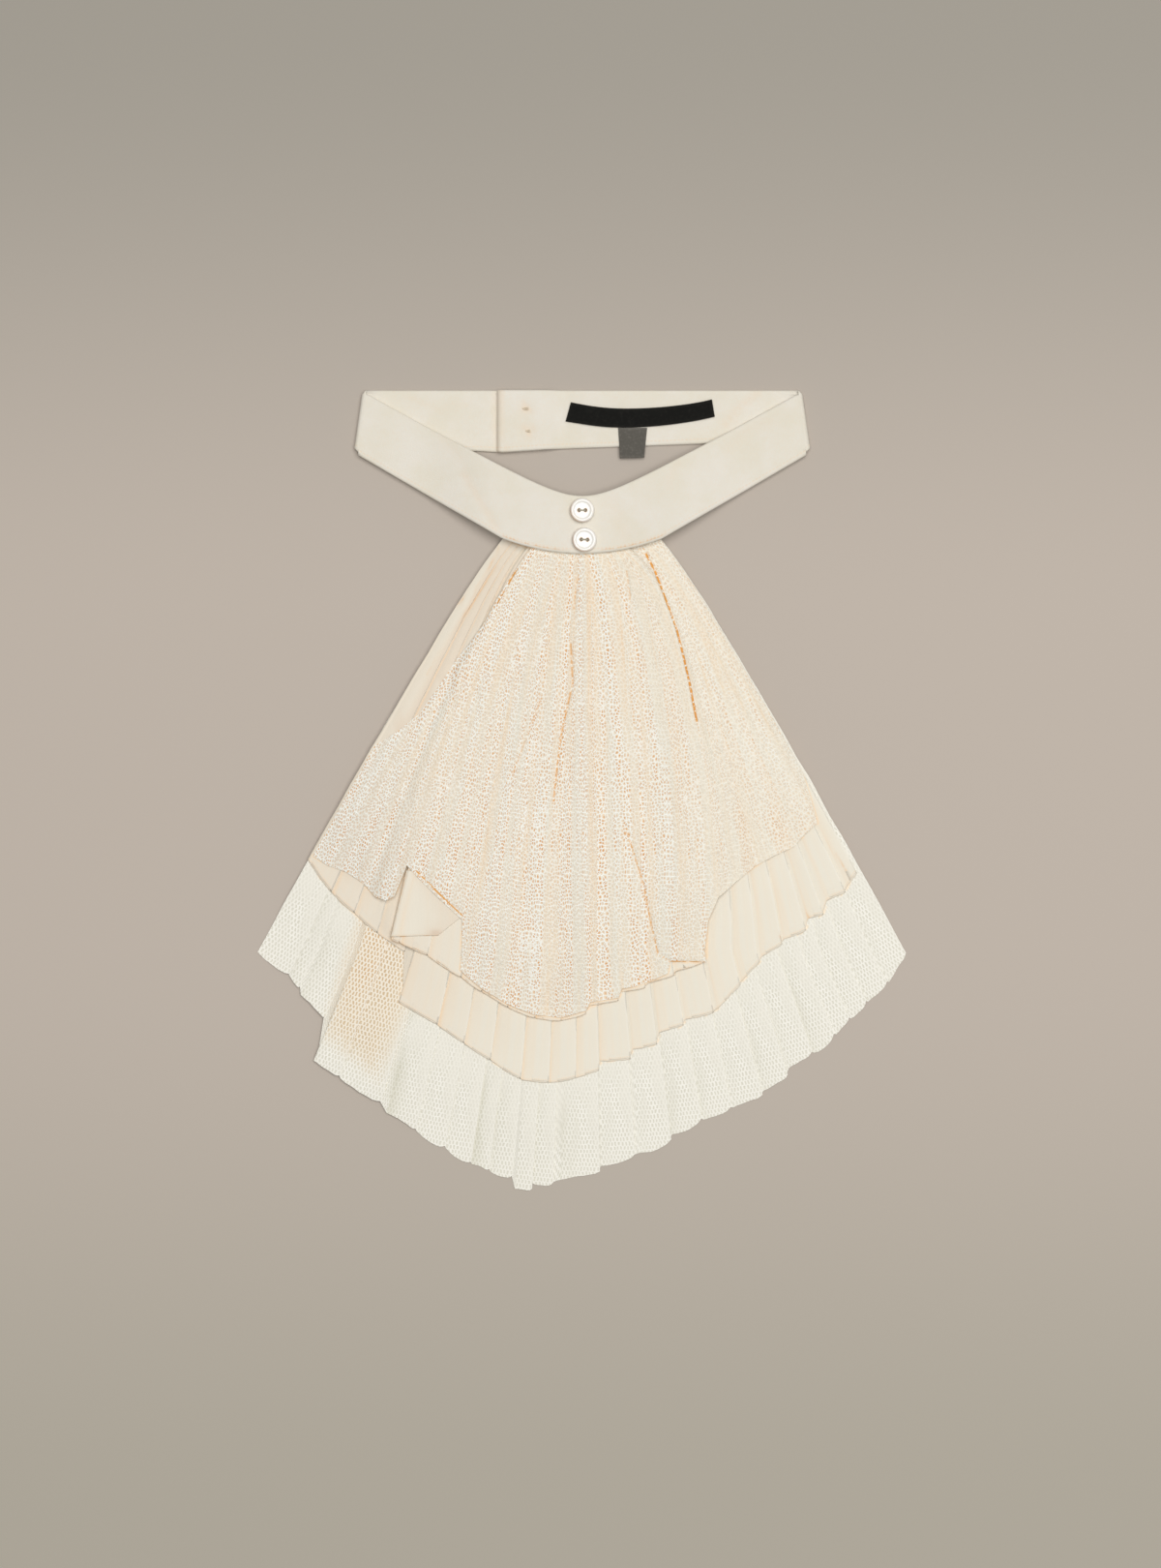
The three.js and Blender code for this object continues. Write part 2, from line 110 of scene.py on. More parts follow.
def distance_to_line(x: Array, y: Array, line: Sequence[Point]) -> Array:
    """How far places are from a broken line.

    Args:
        x: places across.
        y: places down.
        line: the line's corners.

    Returns:
        The distance of each place to the nearest point of the line.
    """
    nearest = np.full(x.shape, np.inf)
    for (ax, ay), (bx, by) in zip(line, line[1:]):
        along_x, along_y = bx - ax, by - ay
        share = ((x - ax) * along_x + (y - ay) * along_y) / (along_x**2 + along_y**2)
        share = np.clip(share, 0, 1)
        nearest = np.minimum(nearest, np.hypot(x - ax - share * along_x, y - ay - share * along_y))
    return nearest


def arc_lengths(points: Array) -> Array:
    """The length of a line up to each of its points, given as rows."""
    return np.concatenate([[0], np.cumsum(np.linalg.norm(np.diff(points, axis=0), axis=1))])


def hem_rows(hem_y: Array, top_y: Array, hem_steps: Sequence[float], body_rows: int) -> Array:
    """Where rows cross the columns of a sheet, close together at its hem.

    Args:
        hem_y: the foot of each column, as a column.
        top_y: the top of each column, as a column.
        hem_steps: how far above the hem its own rows are.
        body_rows: how many rows follow, evenly spread.

    Returns:
        How far each row is above the hem, a line for each column.
    """
    last = hem_steps[-1]
    way = np.linspace(0, 1, body_rows + 1)[1:]
    body = last + (top_y - hem_y - last) * way
    return np.concatenate([np.repeat([hem_steps], len(hem_y), axis=0), body], axis=1)


def ruled(left: Sequence[Point], right: Sequence[Point], columns: int, rows: int) -> Array:
    """Places between two broken lines, in columns from left to right and rows from foot to top.

    Args:
        left: the corners of the left side, from the top down.
        right: the corners of the right side, from the top down.
        columns: how many columns.
        rows: how many rows.

    Returns:
        The places, as columns by rows by 2.
    """
    sides = []
    for corners in (np.array(left, float), np.array(right, float)):
        stretch = arc_lengths(corners)
        way = np.linspace(stretch[-1], 0, rows)
        sides.append(np.stack([np.interp(way, stretch, corners[:, k]) for k in (0, 1)], axis=-1))
    share = np.linspace(0, 1, columns)[:, None, None]
    return sides[0][None] * (1 - share) + sides[1][None] * share


def section(upper: Array, lower: Optional[Array] = None) -> Array:
    """A loop of rows over a flat piece and back under it, in rows of its own where given."""
    lower = upper if lower is None else lower
    return np.concatenate([upper, lower[::-1], upper[:1]])


def rounded(from_edge: Array, reach: float) -> Array:
    """The thickness of a round edge, from 0 at the edge to 1 at reach from it."""
    return np.sqrt(np.clip(1 - (1 - np.clip(from_edge / reach, 0, 1)) ** 2, 0, 1))


def rows_of(kind: type[Kind], rows: Sequence[tuple]) -> tuple[Kind, ...]:
    """One object of a kind for each row of a table."""
    return tuple(kind(*row) for row in rows)


@dataclass(frozen=True)
class Fan:
    """The lines that all the pleats follow, down from a pole above the band."""

    pole_y: float = 159.3
    seam_middle_y: float = 97.7
    seam_end_y: float = 103.9
    seam_half: float = 33.0
    under_band: float = 4.5
    solve_steps: int = 20
    bend_length: float = 170.0
    bend_start: float = 12.0
    bend_degrees: tuple[float, ...] = (-31.0, -19.7, 0.0, 12.4, 31.0)
    bend_sizes: tuple[float, ...] = (-3.0, -8.0, 0.0, 19.0, 3.0)
    wall: float = 1.0
    gap: float = 0.3
    rise_at_seam: float = 0.5
    rise_more: float = 0.9
    rise_length: float = 270.0
    lift_size: float = 1.3
    lift_centre: Point = (-87.0, -84.0)
    lift_lean: float = math.radians(21.8)
    lift_half: Point = (14.0, 29.0)
    lift_ramp: float = 42.0

    def bend(self, angle: Array, y: Array) -> Array:
        """How far sideways lines are bent.

        Args:
            angle: the lines' angles at the pole.
            y: places down.

        Returns:
            Millimetres to the right.
        """
        way = np.clip((self.seam_end_y - y) / self.bend_length, 0, 1)
        shape = (1 - way**3) * (1 - np.exp(-self.bend_start * way))
        return shape * np.interp(np.degrees(angle), self.bend_degrees, self.bend_sizes)

    def x_at(self, angle: Array, y: Array) -> Array:
        """Where the line at an angle is, at y."""
        return np.tan(angle) * (self.pole_y - y) + self.bend(angle, y)

    def angle_at(self, x: Array, y: Array) -> Array:
        """The angle of the line through a point.

        Args:
            x: places across.
            y: places down.

        Returns:
            Radians from straight down.
        """
        angle = np.arctan(x / (self.pole_y - y))
        for _ in range(self.solve_steps):
            angle = np.arctan((x - self.bend(angle, y)) / (self.pole_y - y))
        return angle

    def seam_curve(self, side: Array) -> Array:
        """How high the seam is, at a share of the way from its middle to its end."""
        return self.seam_middle_y + (self.seam_end_y - self.seam_middle_y) * side**2

    def seam_y(self, angle: Array) -> Array:
        """Where lines start under the band.

        Args:
            angle: the lines' angles at the pole.

        Returns:
            Places down, in millimetres.
        """
        y = np.full(angle.shape, self.seam_middle_y)
        for _ in range(self.solve_steps):
            side = np.minimum(np.abs(self.x_at(angle, y)) / self.seam_half, 1)
            y = self.seam_curve(side) + self.under_band
        return y

    def rise(self, y: Array) -> Array:
        """The height of one pleat over its hollow, at y."""
        return self.rise_at_seam + self.rise_more * np.clip((self.seam_end_y - y) / self.rise_length, 0, 1)

    def base(self, level: Array, y: Array) -> Array:
        """The underside of a level's lowest cloth, at y."""
        return level * (self.wall + self.rise(y) + self.gap)

    def lift(self, x: Array, y: Array) -> Array:
        """How far the tucked pleat lifts the cloth over it.

        Args:
            x: places across.
            y: places down.

        Returns:
            Millimetres up.
        """
        dx, dy = x - self.lift_centre[0], y - self.lift_centre[1]
        across = dx * math.cos(self.lift_lean) - dy * math.sin(self.lift_lean)
        along = dx * math.sin(self.lift_lean) + dy * math.cos(self.lift_lean)
        beside = np.maximum(np.abs(across) - self.lift_half[0], 0)
        beyond = np.maximum(np.abs(along) - self.lift_half[1], 0)
        return self.lift_size * (1 - smooth(np.hypot(beside, beyond), 0, self.lift_ramp))

    def top(self, level: Array, height: Array, x: Array, y: Array) -> Array:
        """The upper face of the cloth of a level, at a share of the full rise."""
        return self.base(level, y) + self.wall + self.rise(y) * height + self.lift(x, y)


FAN = Fan()


@dataclass(frozen=True)
class Pleat:
    """One pleat's visible hem, from under its left neighbour to its own fold."""

    start_x: float
    start_y: float
    end_x: float
    end_y: float
    start_height: float
    end_height: float
    fold_margin: ClassVar[float] = 0.15

    def hem(self, share: float) -> Point:
        """A point of the visible hem."""
        x = self.start_x + (self.end_x - self.start_x) * share
        return x, self.start_y + (self.end_y - self.start_y) * share

    def height(self, share: float) -> float:
        """The share of the full rise at a share of the way across."""
        return self.start_height + (self.end_height - self.start_height) * (1 - (1 - share) ** 1.6)

    def lies_on(self, before: Pleat) -> bool:
        """Whether its left edge is a fold of its own, on the pleat before it."""
        return self.start_height > before.end_height - self.fold_margin


NET_PLEATS = rows_of(Pleat, (
    (-134.6, -67, -121.7, -76.5, 0.2, 0.9), (-121, -77, -117.3, -82, 0.1, 0.7),
    (-116.5, -84.5, -106.7, -94.9, 0, 0.5), (-111.1, -111.7, -100.7, -118.7, 0.9, 1),
    (-100, -119.2, -83.5, -129.5, 0, 1), (-81, -133.5, -69, -140.8, 0, 1),
    (-68.5, -141.2, -57, -148, 0, 1), (-56.5, -148.3, -46.2, -154.5, 0, 1),
    (-45.7, -154.8, -38.6, -157.6, 0, 0.9), (-38.1, -157.9, -28.9, -160.1, 0, 0.8),
    (-27.9, -165, -20.9, -165.9, 0.4, 1), (-20.7, -162.7, -12.1, -163.2, 0.2, 0.9),
    (-8.5, -161.1, 7.3, -158.6, 0, 1), (7.9, -155.5, 22, -151.5, 0, 1),
    (24.1, -149.9, 36.9, -145.3, 0, 1), (37.2, -142.3, 49.6, -136.5, 0, 1),
    (50.2, -136.2, 62, -131.5, 0, 0.8), (62.6, -131.2, 74.9, -126.9, 0, 1),
    (75.3, -124.2, 85.3, -118.5, 0, 1), (85.7, -114.9, 95.5, -109.1, 0, 1),
    (96.1, -108.6, 104.7, -101.5, 0, 0.8), (105.2, -101, 110.9, -94.8, 0, 0.9),
    (111.4, -94.3, 118, -87.9, 0, 1), (118.6, -87.4, 126.7, -80, 0, 0.8),
    (127.3, -79.4, 134.6, -68, 0, 0.8),
))
LOWER_PLEATS = rows_of(Pleat, (
    (-113.6, -28.5, -103.9, -42.2, 0.3, 1), (-103.3, -42.6, -94.3, -50.8, 0, 0.9),
    (-93.8, -51.2, -84.7, -59.1, 0, 1), (-84.2, -59.5, -73.5, -66.8, 0, 0.6),
    (-75.9, -87.7, -60, -97, 0.6, 1), (-59.5, -97.3, -49, -104.6, 0, 1),
    (-48.5, -104.9, -38, -111.6, 0, 1), (-37.5, -111.9, -25.5, -119.5, 0, 1),
    (-25, -119.7, -14, -121, 0, 0.9), (-13.5, -120.9, -2.7, -119, 0, 1),
    (-2.2, -118.8, 6.9, -115.9, 0, 1), (7.5, -111.9, 20, -111.2, 0, 1),
    (21, -107, 31, -105, 0, 1), (32, -100, 42, -97.3, 0, 1),
    (43, -94.5, 54.5, -92, 0, 1), (56.3, -90, 65.5, -80.5, 0, 1),
    (66.3, -78.5, 73.5, -71, 0, 0.9), (74.5, -68.5, 82.7, -63.7, 0, 1),
    (83.5, -61.5, 92.7, -58, 0, 0.9), (93.5, -53, 99.9, -51.5, 0, 1),
    (101.3, -45.5, 109.1, -42.3, 0, 1), (110, -39, 113.8, -34.4, 0, 0.8),
))
UPPER_PLEATS = rows_of(Pleat, (
    (-78.9, -61.4, -75.6, -62.8, 1, 1), (-74.6, -63.3, -64, -68.2, 0.4, 1),
    (-63.4, -68.6, -50, -77.3, 0.1, 1), (-49.5, -77.6, -41.5, -83.2, 0, 1),
    (-41, -83.5, -30.7, -89.7, 0, 1), (-30.2, -89.9, -19.5, -94, 0, 1),
    (-19, -94.1, -8.7, -95.2, 0, 0.9), (-8.2, -95, 1.5, -92.3, 0, 1),
    (3.2, -88.9, 15, -86.9, 0, 1), (16.1, -83.2, 26, -81.6, 0, 1),
    (27.9, -79.3, 38, -76.4, 0, 1), (39, -74.5, 50.4, -70.9, 0, 1),
))


@dataclass(frozen=True)
class LaceFold:
    """One ridge or hollow of the lace: where it meets the hem, where it begins, and how high it is."""

    x: float
    y: float
    top_y: Optional[float]
    height: float
    level: float


LACE_FOLDS = rows_of(LaceFold, (
    (-111.4, -27, 19, 0.2, 2), (-105.1, -31, 24, 0.9, 2),
    (-97.5, -33.7, 32, 0.1, 2), (-93, -36.6, 44, 0.8, 2),
    (-89.9, -38.9, 54, 0.1, 2), (-85.5, -43.7, 60, 0.8, 2),
    (-81.1, -45.3, 66, 0.1, 2), (-77.5, -43.5, 70, 0.4, 2.5),
    (-72.3, -30.8, 77, 0.8, 3), (-66, -37.6, AT_SEAM, 0.6, 3),
    (-60, -43.5, AT_SEAM, 0.9, 3), (-49.5, -53.3, AT_SEAM, 0.3, 3),
    (-50.3, -74.1, AT_SEAM, 0.3, 3), (-41.5, -81.7, AT_SEAM, 1, 3),
    (-36, -85, AT_SEAM, 0.7, 3), (-30.7, -88.2, AT_SEAM, 0.1, 3),
    (-25, -90.4, AT_SEAM, 0.8, 3), (-19.5, -92.5, AT_SEAM, 0.9, 3),
    (-14, -93.1, AT_SEAM, 0, 3), (-8.7, -93.7, AT_SEAM, 0.3, 3),
    (-3.5, -92.2, AT_SEAM, 1, 3), (1.5, -90.8, AT_SEAM, 0.8, 3),
    (3.2, -87.4, AT_SEAM, 0.2, 3), (9, -86.4, AT_SEAM, 0, 3),
    (15, -85.4, AT_SEAM, 0.9, 3), (16.4, -81.7, AT_SEAM, 1, 3),
    (22, -80.8, AT_SEAM, 0.3, 3), (27, -79, AT_SEAM, 0.1, 3),
    (35.3, -75.5, AT_SEAM, 1, 3), (36.3, -70.6, AT_SEAM, 1, 3),
    (43, -70.8, AT_SEAM, 0.3, 3), (51.3, -70.9, AT_SEAM, 0.6, 3),
    (51.5, -53.3, AT_SEAM, 0.6, 2.6), (56.1, -44.1, AT_SEAM, 0.1, 2),
    (63.5, -37.7, AT_SEAM, 0.9, 2), (71.3, -31.3, AT_SEAM, 0.1, 2),
    (79, -27, AT_SEAM, 0.9, 2), (87.3, -23.3, AT_SEAM, 0.1, 2),
    (92, -18, AT_SEAM, 0.8, 2), (97.3, -13.3, AT_SEAM, 0.2, 2),
    (91.3, 6.7, AT_SEAM, 0.7, 2), (79, 28.7, AT_SEAM, 0.3, 2),
))
# Pressed creases, along which a shade line is painted on the georgette.
PRESSED_LINES = (
    ((-34.2, 101.2), (-40.4, 88.1), (-52.7, 75.9)),
    ((-34.2, 94.3), (-43.5, 80.4), (-52.7, 66.6), (-64.0, 48.0)),
    ((43.7, 89.5), (53.7, 74.3)),
    ((105.2, -26.4), (110.5, -35.3)),
    ((89.9, -47.0), (94.4, -53.3)),
    ((80.9, -58.7), (84.5, -64.1)),
    ((51.3, -71.3), (54.9, -90.9)),
)
WIDE_STRIP = (
    (-29.6, 100.5), (-35.0, 90.0), (-40.5, 80.0), (-49.0, 65.0), (-56.5, 52.0), (-65.5, 39.0), (-76.0, 24.0),
)
FLAP_SIDE = ((-69.5, -33.0), (-79.5, -61.5))
TUCKED_OUTLINE = (
    (-87.4, -56.0), (-72.5, -68.5), (-75.1, -83.0), (-80.5, -96.0), (-85.5, -112.0), (-101.5, -99.0),
)
LABEL_STATIONS = (
    (-4.7, 160.7, -6.9, 152.7),
    (8.0, 158.6, 6.8, 150.7),
    (21.6, 158.1, 20.8, 150.2),
    (38.0, 159.2, 38.0, 151.6),
    (53.7, 161.9, 54.9, 154.7),
)
TAB_STATIONS = (
    (14.9, 150.1, 15.6, 137.5),
    (20.9, 150.1, 20.7, 137.6),
    (26.9, 150.1, 25.7, 137.8),
)
TACKS = {"tack_top": (-23.5, 157.9), "tack_foot": (-22.3, 148.7)}


def hem_points(pleats: Sequence[Pleat], *shares: float) -> Array:
    """Points of a tier's hem at the same shares of each pleat, as rows of x and y."""
    return np.array([pleat.hem(share) for pleat in pleats for share in shares])


def lace_cover(x: Array, y: Array) -> Array:
    """How much of a place lies under the lace.

    Args:
        x: places across.
        y: places down.

    Returns:
        1 well under the lace and 0 beside it.
    """
    fold_x, fold_y, tops = np.array([astuple(fold)[:3] for fold in LACE_FOLDS], float).T
    hem = FAN.angle_at(fold_x, fold_y)
    hem = np.maximum.accumulate(hem + np.arange(len(hem)) * 1e-5)
    angle = FAN.angle_at(x, np.minimum(y, 120.0))
    hem_y = np.interp(angle, hem, fold_y)
    top_y = np.interp(angle, hem, np.where(np.isnan(tops), 200.0, tops))
    inside = smooth(angle, hem[0], hem[0] + 0.02) * smooth(angle, hem[-1], hem[-1] - 0.02)
    return inside * smooth(y, hem_y - 1, hem_y + 3) * smooth(y, top_y, top_y - 8)


def pleat_below(pleats: Sequence[Pleat], x: Array, y: Array) -> Array:
    """Where the pleats of a tier are under a place.

    Args:
        pleats: the tier's pleats.
        x: places across.
        y: places down.

    Returns:
        The distance in millimetres to the left edge of the pleat there.
    """
    angle = FAN.angle_at(x, y)
    starts = FAN.angle_at(*hem_points(pleats, 0).T)
    number = np.clip(np.searchsorted(starts, angle, side="right") - 1, 0, len(pleats) - 1)
    return np.abs(angle - starts[number]) * (FAN.pole_y - y) / np.cos(angle)


def hem_at(pleats: Sequence[Pleat], x: Array, y: Array) -> Array:
    """How far down the hem of a tier is, on the line through a place.

    Args:
        pleats: the tier's pleats.
        x: places across.
        y: places down.

    Returns:
        The hem's places down.
    """
    corners = hem_points(pleats, 0, 1)
    angles = np.maximum.accumulate(FAN.angle_at(*corners.T) + np.arange(len(corners)) * 1e-6)
    return np.interp(FAN.angle_at(x, y), angles, corners[:, 1])


def covering_edges(level: int, x: Array, y: Array) -> Array:
    """How far places of a tier are from the nearest edge that lies on it.

    Args:
        level: the tier's level.
        x: places across.
        y: places down.

    Returns:
        The distances in millimetres.
    """
    half = int(FAN.seam_half)
    lines = [[(side, FAN.seam_curve(side / half)) for side in range(-half, half + 1, half // 3)]]
    if level < 2:
        hem = hem_points((LOWER_PLEATS, UPPER_PLEATS)[level], 0, 1)
        angle = FAN.angle_at(*hem[:1].T)
        side = np.linspace(hem[0][1] + 30, hem[0][1] + 5, 6)
        lines.append([*zip(FAN.x_at(angle, side), side), *hem])
    if level > 0:
        lines.append([(fold.x, fold.y) for fold in LACE_FOLDS])
    return np.min([distance_to_line(x, y, line) for line in lines], axis=0)


def near_tuck(x: Array, y: Array) -> Array:
    """How much of a place lies over the tucked pleat.

    Args:
        x: places across.
        y: places down.

    Returns:
        1 well over the tucked pleat and 0 beside it.
    """
    inside = np.full(x.shape, np.inf)
    for (ax, ay), (bx, by) in zip(TUCKED_OUTLINE, TUCKED_OUTLINE[1:] + TUCKED_OUTLINE[:1]):
        length = math.hypot(bx - ax, by - ay)
        inside = np.minimum(inside, -((bx - ax) * (y - ay) - (by - ay) * (x - ax)) / length)
    return smooth(inside, -10, 2)


def in_scene(name: str, data: Optional[bpy.types.ID]) -> Thing:
    """A new object of the scene.

    Args:
        name: what the object is called.
        data: its mesh, lamp or camera.

    Returns:
        The object.
    """
    thing = bpy.data.objects.new(name, data)
    bpy.context.scene.collection.objects.link(thing)
    return thing


def finished(name: str, shape: bmesh.types.BMesh) -> bpy.types.Mesh:
    """The mesh of a shape, which is freed.

    Args:
        name: what the mesh is called.
        shape: the shape.

    Returns:
        The mesh.
    """
    mesh = bpy.data.meshes.new(name)
    shape.to_mesh(mesh)
    shape.free()
    return mesh


def as_piece(name: str, mesh: bpy.types.Mesh) -> Thing:
    """Puts a mesh in the scene as a smooth piece that moves with the jabot.

    Args:
        name: what the piece is called.
        mesh: its mesh, in metres, in place.

    Returns:
        The new object.
    """
    mesh.polygons.foreach_set("use_smooth", np.ones(len(mesh.polygons), bool))
    piece = in_scene(name, mesh)
    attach(piece, BODY)
    return piece


def thicken(piece: Thing, wall: float) -> None:
    """Gives a sheet its thickness, downwards.

    Args:
        piece: the sheet.
        wall: its thickness in millimetres.
    """
    thickness = piece.modifiers.new("cloth_thickness", "SOLIDIFY")
    thickness.thickness = wall * MM
    thickness.offset = -1


@dataclass
class Web:
    """A grid of points that becomes one mesh, with what its finish reads at each of them."""

    points: Array
    left: Array
    right: Array
    marks: dict[str, Union[float, Array]] = field(default_factory=dict)

    def piece(self, name: str, closed: bool = False) -> Thing:
        """Makes the piece.

        Args:
            name: what the piece is called.
            closed: whether the last column is the first one again, as round a tube.

        Returns:
            The new object, with its place in its mesh.
        """
        columns, rows = self.points.shape[:2]
        grid = bmesh.new()
        bmesh.ops.create_grid(grid, x_segments=columns - 1, y_segments=rows - 1, size=1.0)
        mesh = finished(name, grid)
        mesh.vertices.foreach_set("co", (self.points * MM).transpose(1, 0, 2).astype(np.float32).ravel())
        for mark, values in self.marks.items():
            layer = mesh.attributes.new(mark, "FLOAT", "POINT")
            spread = np.broadcast_to(np.asarray(values, np.float32), (columns, rows))
            layer.data.foreach_set("value", spread.T.ravel())
        corners = np.zeros(len(mesh.loops), np.int32)
        mesh.loops.foreach_get("vertex_index", corners)
        corners = corners.reshape(-1, 4)
        column, row = corners % columns, corners // columns
        first = column.min(axis=1, keepdims=True)
        cloth = np.where((column == first)[..., None], self.left[first, row], self.right[first, row])
        mesh.uv_layers.new(name="cloth").data.foreach_set("uv", cloth.astype(np.float32).ravel())
        if closed:
            self.close(mesh)
        return as_piece(name, mesh)

    @staticmethod
    def close(mesh: bpy.types.Mesh) -> None:
        """Joins the two sides of a rolled grid and fills its ends.

        Args:
            mesh: the mesh to close.
        """
        shell = bmesh.new()
        shell.from_mesh(mesh)
        bmesh.ops.remove_doubles(shell, verts=shell.verts, dist=1e-7)
        rim = [edge for edge in shell.edges if edge.is_boundary]
        bmesh.ops.holes_fill(shell, edges=rim, sides=0)
        bmesh.ops.recalc_face_normals(shell, faces=shell.faces)
        shell.to_mesh(mesh)
        shell.free()


@dataclass(frozen=True)
class Value:
    """A number, vector or colour that a material works out, with the usual signs for its sums."""

    bench: Bench
    socket: Socket

    def __add__(self, other: Number) -> Value:
        """The sum."""
        return self.bench.math("ADD", self, other)

    def __sub__(self, other: Number) -> Value:
        """The difference."""
        return self.bench.math("SUBTRACT", self, other)

    def __rsub__(self, other: float) -> Value:
        """What is left of a plain number."""
        return self.bench.math("SUBTRACT", other, self)

    def __mul__(self, other: Number) -> Value:
        """The product."""
        return self.bench.math("MULTIPLY", self, other)

    def __truediv__(self, other: Number) -> Value:
        """The quotient."""
        return self.bench.math("DIVIDE", self, other)

    def __abs__(self) -> Value:
        """The size, without its sign."""
        return self.bench.math("ABSOLUTE", self)

    def most(self, other: Number) -> Value:
        """The larger of two numbers."""
        return self.bench.math("MAXIMUM", self, other)

    def sine(self, pitch: float) -> Value:
        """A wave that repeats after pitch."""
        return self.bench.math("SINE", self * (2 * math.pi / pitch))

    def near(self, reach: float) -> Value:
        """1 at no distance, falling off over reach."""
        return self.bench.math("EXPONENT", self * (-1 / reach))

    def clamped(self) -> Value:
        """The same sum, held between 0 and 1."""
        self.socket.node.use_clamp = True
        return self

    def beside(self, name: str) -> Value:
        """Another output of the same node."""
        return Value(self.bench, self.socket.node.outputs[name])

    def split(self) -> list[Value]:
        """A vector's three numbers."""
        parts = self.bench.node("SeparateXYZ", {0: self}).socket.node.outputs
        return [Value(self.bench, part) for part in parts]

    def fade(self, start: float, stop: float) -> Value:
        """A soft step.

        Args:
            start: where it begins.
            stop: where it ends, above or below start.

        Returns:
            0 at start and 1 at stop.
        """
        low, high, ends = (start, stop, (0.0, 1.0)) if start < stop else (stop, start, (1.0, 0.0))
        inputs = {"Value": self, "From Min": low, "From Max": high, "To Min": ends[0], "To Max": ends[1]}
        return self.bench.node("MapRange", inputs, "Result", interpolation_type="SMOOTHSTEP")

    def between(self, first: Number, second: Number) -> Value:
        """A number between two, at this share of the way."""
        return self.bench.node("Mix", {0: self, 2: first, 3: second}, data_type="FLOAT")


class Bench:
    """The node tree of one material, with short calls for the nodes that the finishes use."""

    gloss: ClassVar[float] = 0.3

    def __init__(self, name: str) -> None:
        """Starts a material.

        Args:
            name: what the material is called.
        """
        self.material = bpy.data.materials.new(name)
        self.material.use_nodes = True
        self.tree = self.material.node_tree
        self.tree.nodes.clear()
        self.shader = self.tree.nodes.new("ShaderNodeBsdfPrincipled")
        output = self.tree.nodes.new("ShaderNodeOutputMaterial")
        self.tree.links.new(self.shader.outputs["BSDF"], output.inputs["Surface"])

    def feed(self, socket: Socket, value: Union[Number, Colour]) -> None:
        """Links a socket to a value or gives it a constant.

        Args:
            socket: the input.
            value: what it gets.
        """
        if isinstance(value, Value):
            self.tree.links.new(value.socket, socket)
        elif socket.type == "RGBA":
            socket.default_value = (*value, 1.0)
        else:
            socket.default_value = value

    def node(
        self,
        kind: str,
        inputs: dict[Union[int, str], Union[Number, Colour]],
        output: Union[int, str] = 0,
        **settings: Union[str, float],
    ) -> Value:
        """Adds a node.

        Args:
            kind: its type, without the words that all the types begin with.
            inputs: what its inputs get, by number or name.
            output: which of its outputs is asked for.
            settings: its own settings.

        Returns:
            The output.
        """
        node = self.tree.nodes.new(f"ShaderNode{kind}")
        for name, setting in settings.items():
            setattr(node, name, setting)
        for key, value in inputs.items():
            self.feed(node.inputs[key], value)
        return Value(self, node.outputs[output])

    def surface(self, **values: Union[Number, Colour]) -> None:
        """Sets the shader's own sockets, named with _ for a space."""
        for name, value in {"Specular_IOR_Level": self.gloss, **values}.items():
            self.feed(self.shader.inputs[name.replace("_", " ")], value)

    def math(self, operation: str, *values: Number) -> Value:
        """One sum."""
        return self.node("Math", dict(enumerate(values)), operation=operation)

    def join(self, x: Number, y: Number = 0.0) -> Value:
        """A flat vector from two numbers."""
        return self.node("CombineXYZ", {0: x, 1: y})

    def marks(self, *names: str) -> list[Value]:
        """Numbers stored on the mesh."""
        return [self.node("Attribute", {}, "Fac", attribute_name=name) for name in names]

    def cloth(self) -> tuple[Value, Value]:
        """Millimetres across and along the cloth."""
        across, along, _ = self.node("UVMap", {}, uv_map="cloth").split()
        return across, along

    def place(self) -> Value:
        """The place on the piece, in millimetres."""
        place = self.node("TexCoord", {}, "Object")
        return self.node("VectorMath", {0: place, "Scale": 1 / MM}, operation="SCALE")

    def noise(self, vector: Value, scale: float = 1.0, detail: float = 2.0, rough: float = 0.5) -> Value:
        """Cloudy noise from 0 to 1."""
        inputs = {"Vector": vector, "Scale": scale, "Detail": detail, "Roughness": rough}
        return self.node("TexNoise", inputs, "Fac")

    def cells(self, vector: Value, scatter: float, feature: str = "F1") -> Value:
        """The distance in scattered cells, one to a unit."""
        inputs = {"Vector": vector, "Scale": 1.0, "Randomness": scatter}
        return self.node("TexVoronoi", inputs, "Distance", voronoi_dimensions="2D", feature=feature)

    def tint(self, share: Number, first: Tone, second: Tone) -> Value:
        """A colour between two."""
        return self.node("Mix", {0: share, 6: first, 7: second}, 2, data_type="RGBA")

    def bump(self, height: Value, size: float) -> None:
        """Gives the surface a relief of so many millimetres."""
        normal = self.node("Bump", {"Strength": 1.0, "Distance": size * MM, "Height": height}, "Normal")
        self.feed(self.shader.inputs["Normal"], normal)

    def mesh_threads(self, across: Value, along: Value, width: float, height: float) -> Value:
        """Distance to the nearest thread of a net of six-sided holes.

        Args:
            across: millimetres across the cloth.
            along: millimetres along it.
            width: the pitch of the holes across.
            height: the pitch of every second row of holes.

        Returns:
            The distance in millimetres.
        """
        lattices = []
        for shift in (0.0, 0.5):
            x, y = (
                (self.math("FRACT", value * (1 / pitch) + shift) - 0.5) * pitch
                for value, pitch in ((across, width), (along, height))
            )
            lattices.append((x, x * x + y * y))
        (x_a, square_a), (x_b, square_b) = lattices
        slanting = abs(square_a - square_b) * (1 / math.hypot(width, height))
        own_x = abs(self.math("LESS_THAN", square_a, square_b).between(x_b, x_a))
        return self.math("MINIMUM", slanting, (width / 2 - own_x) * 0.75)


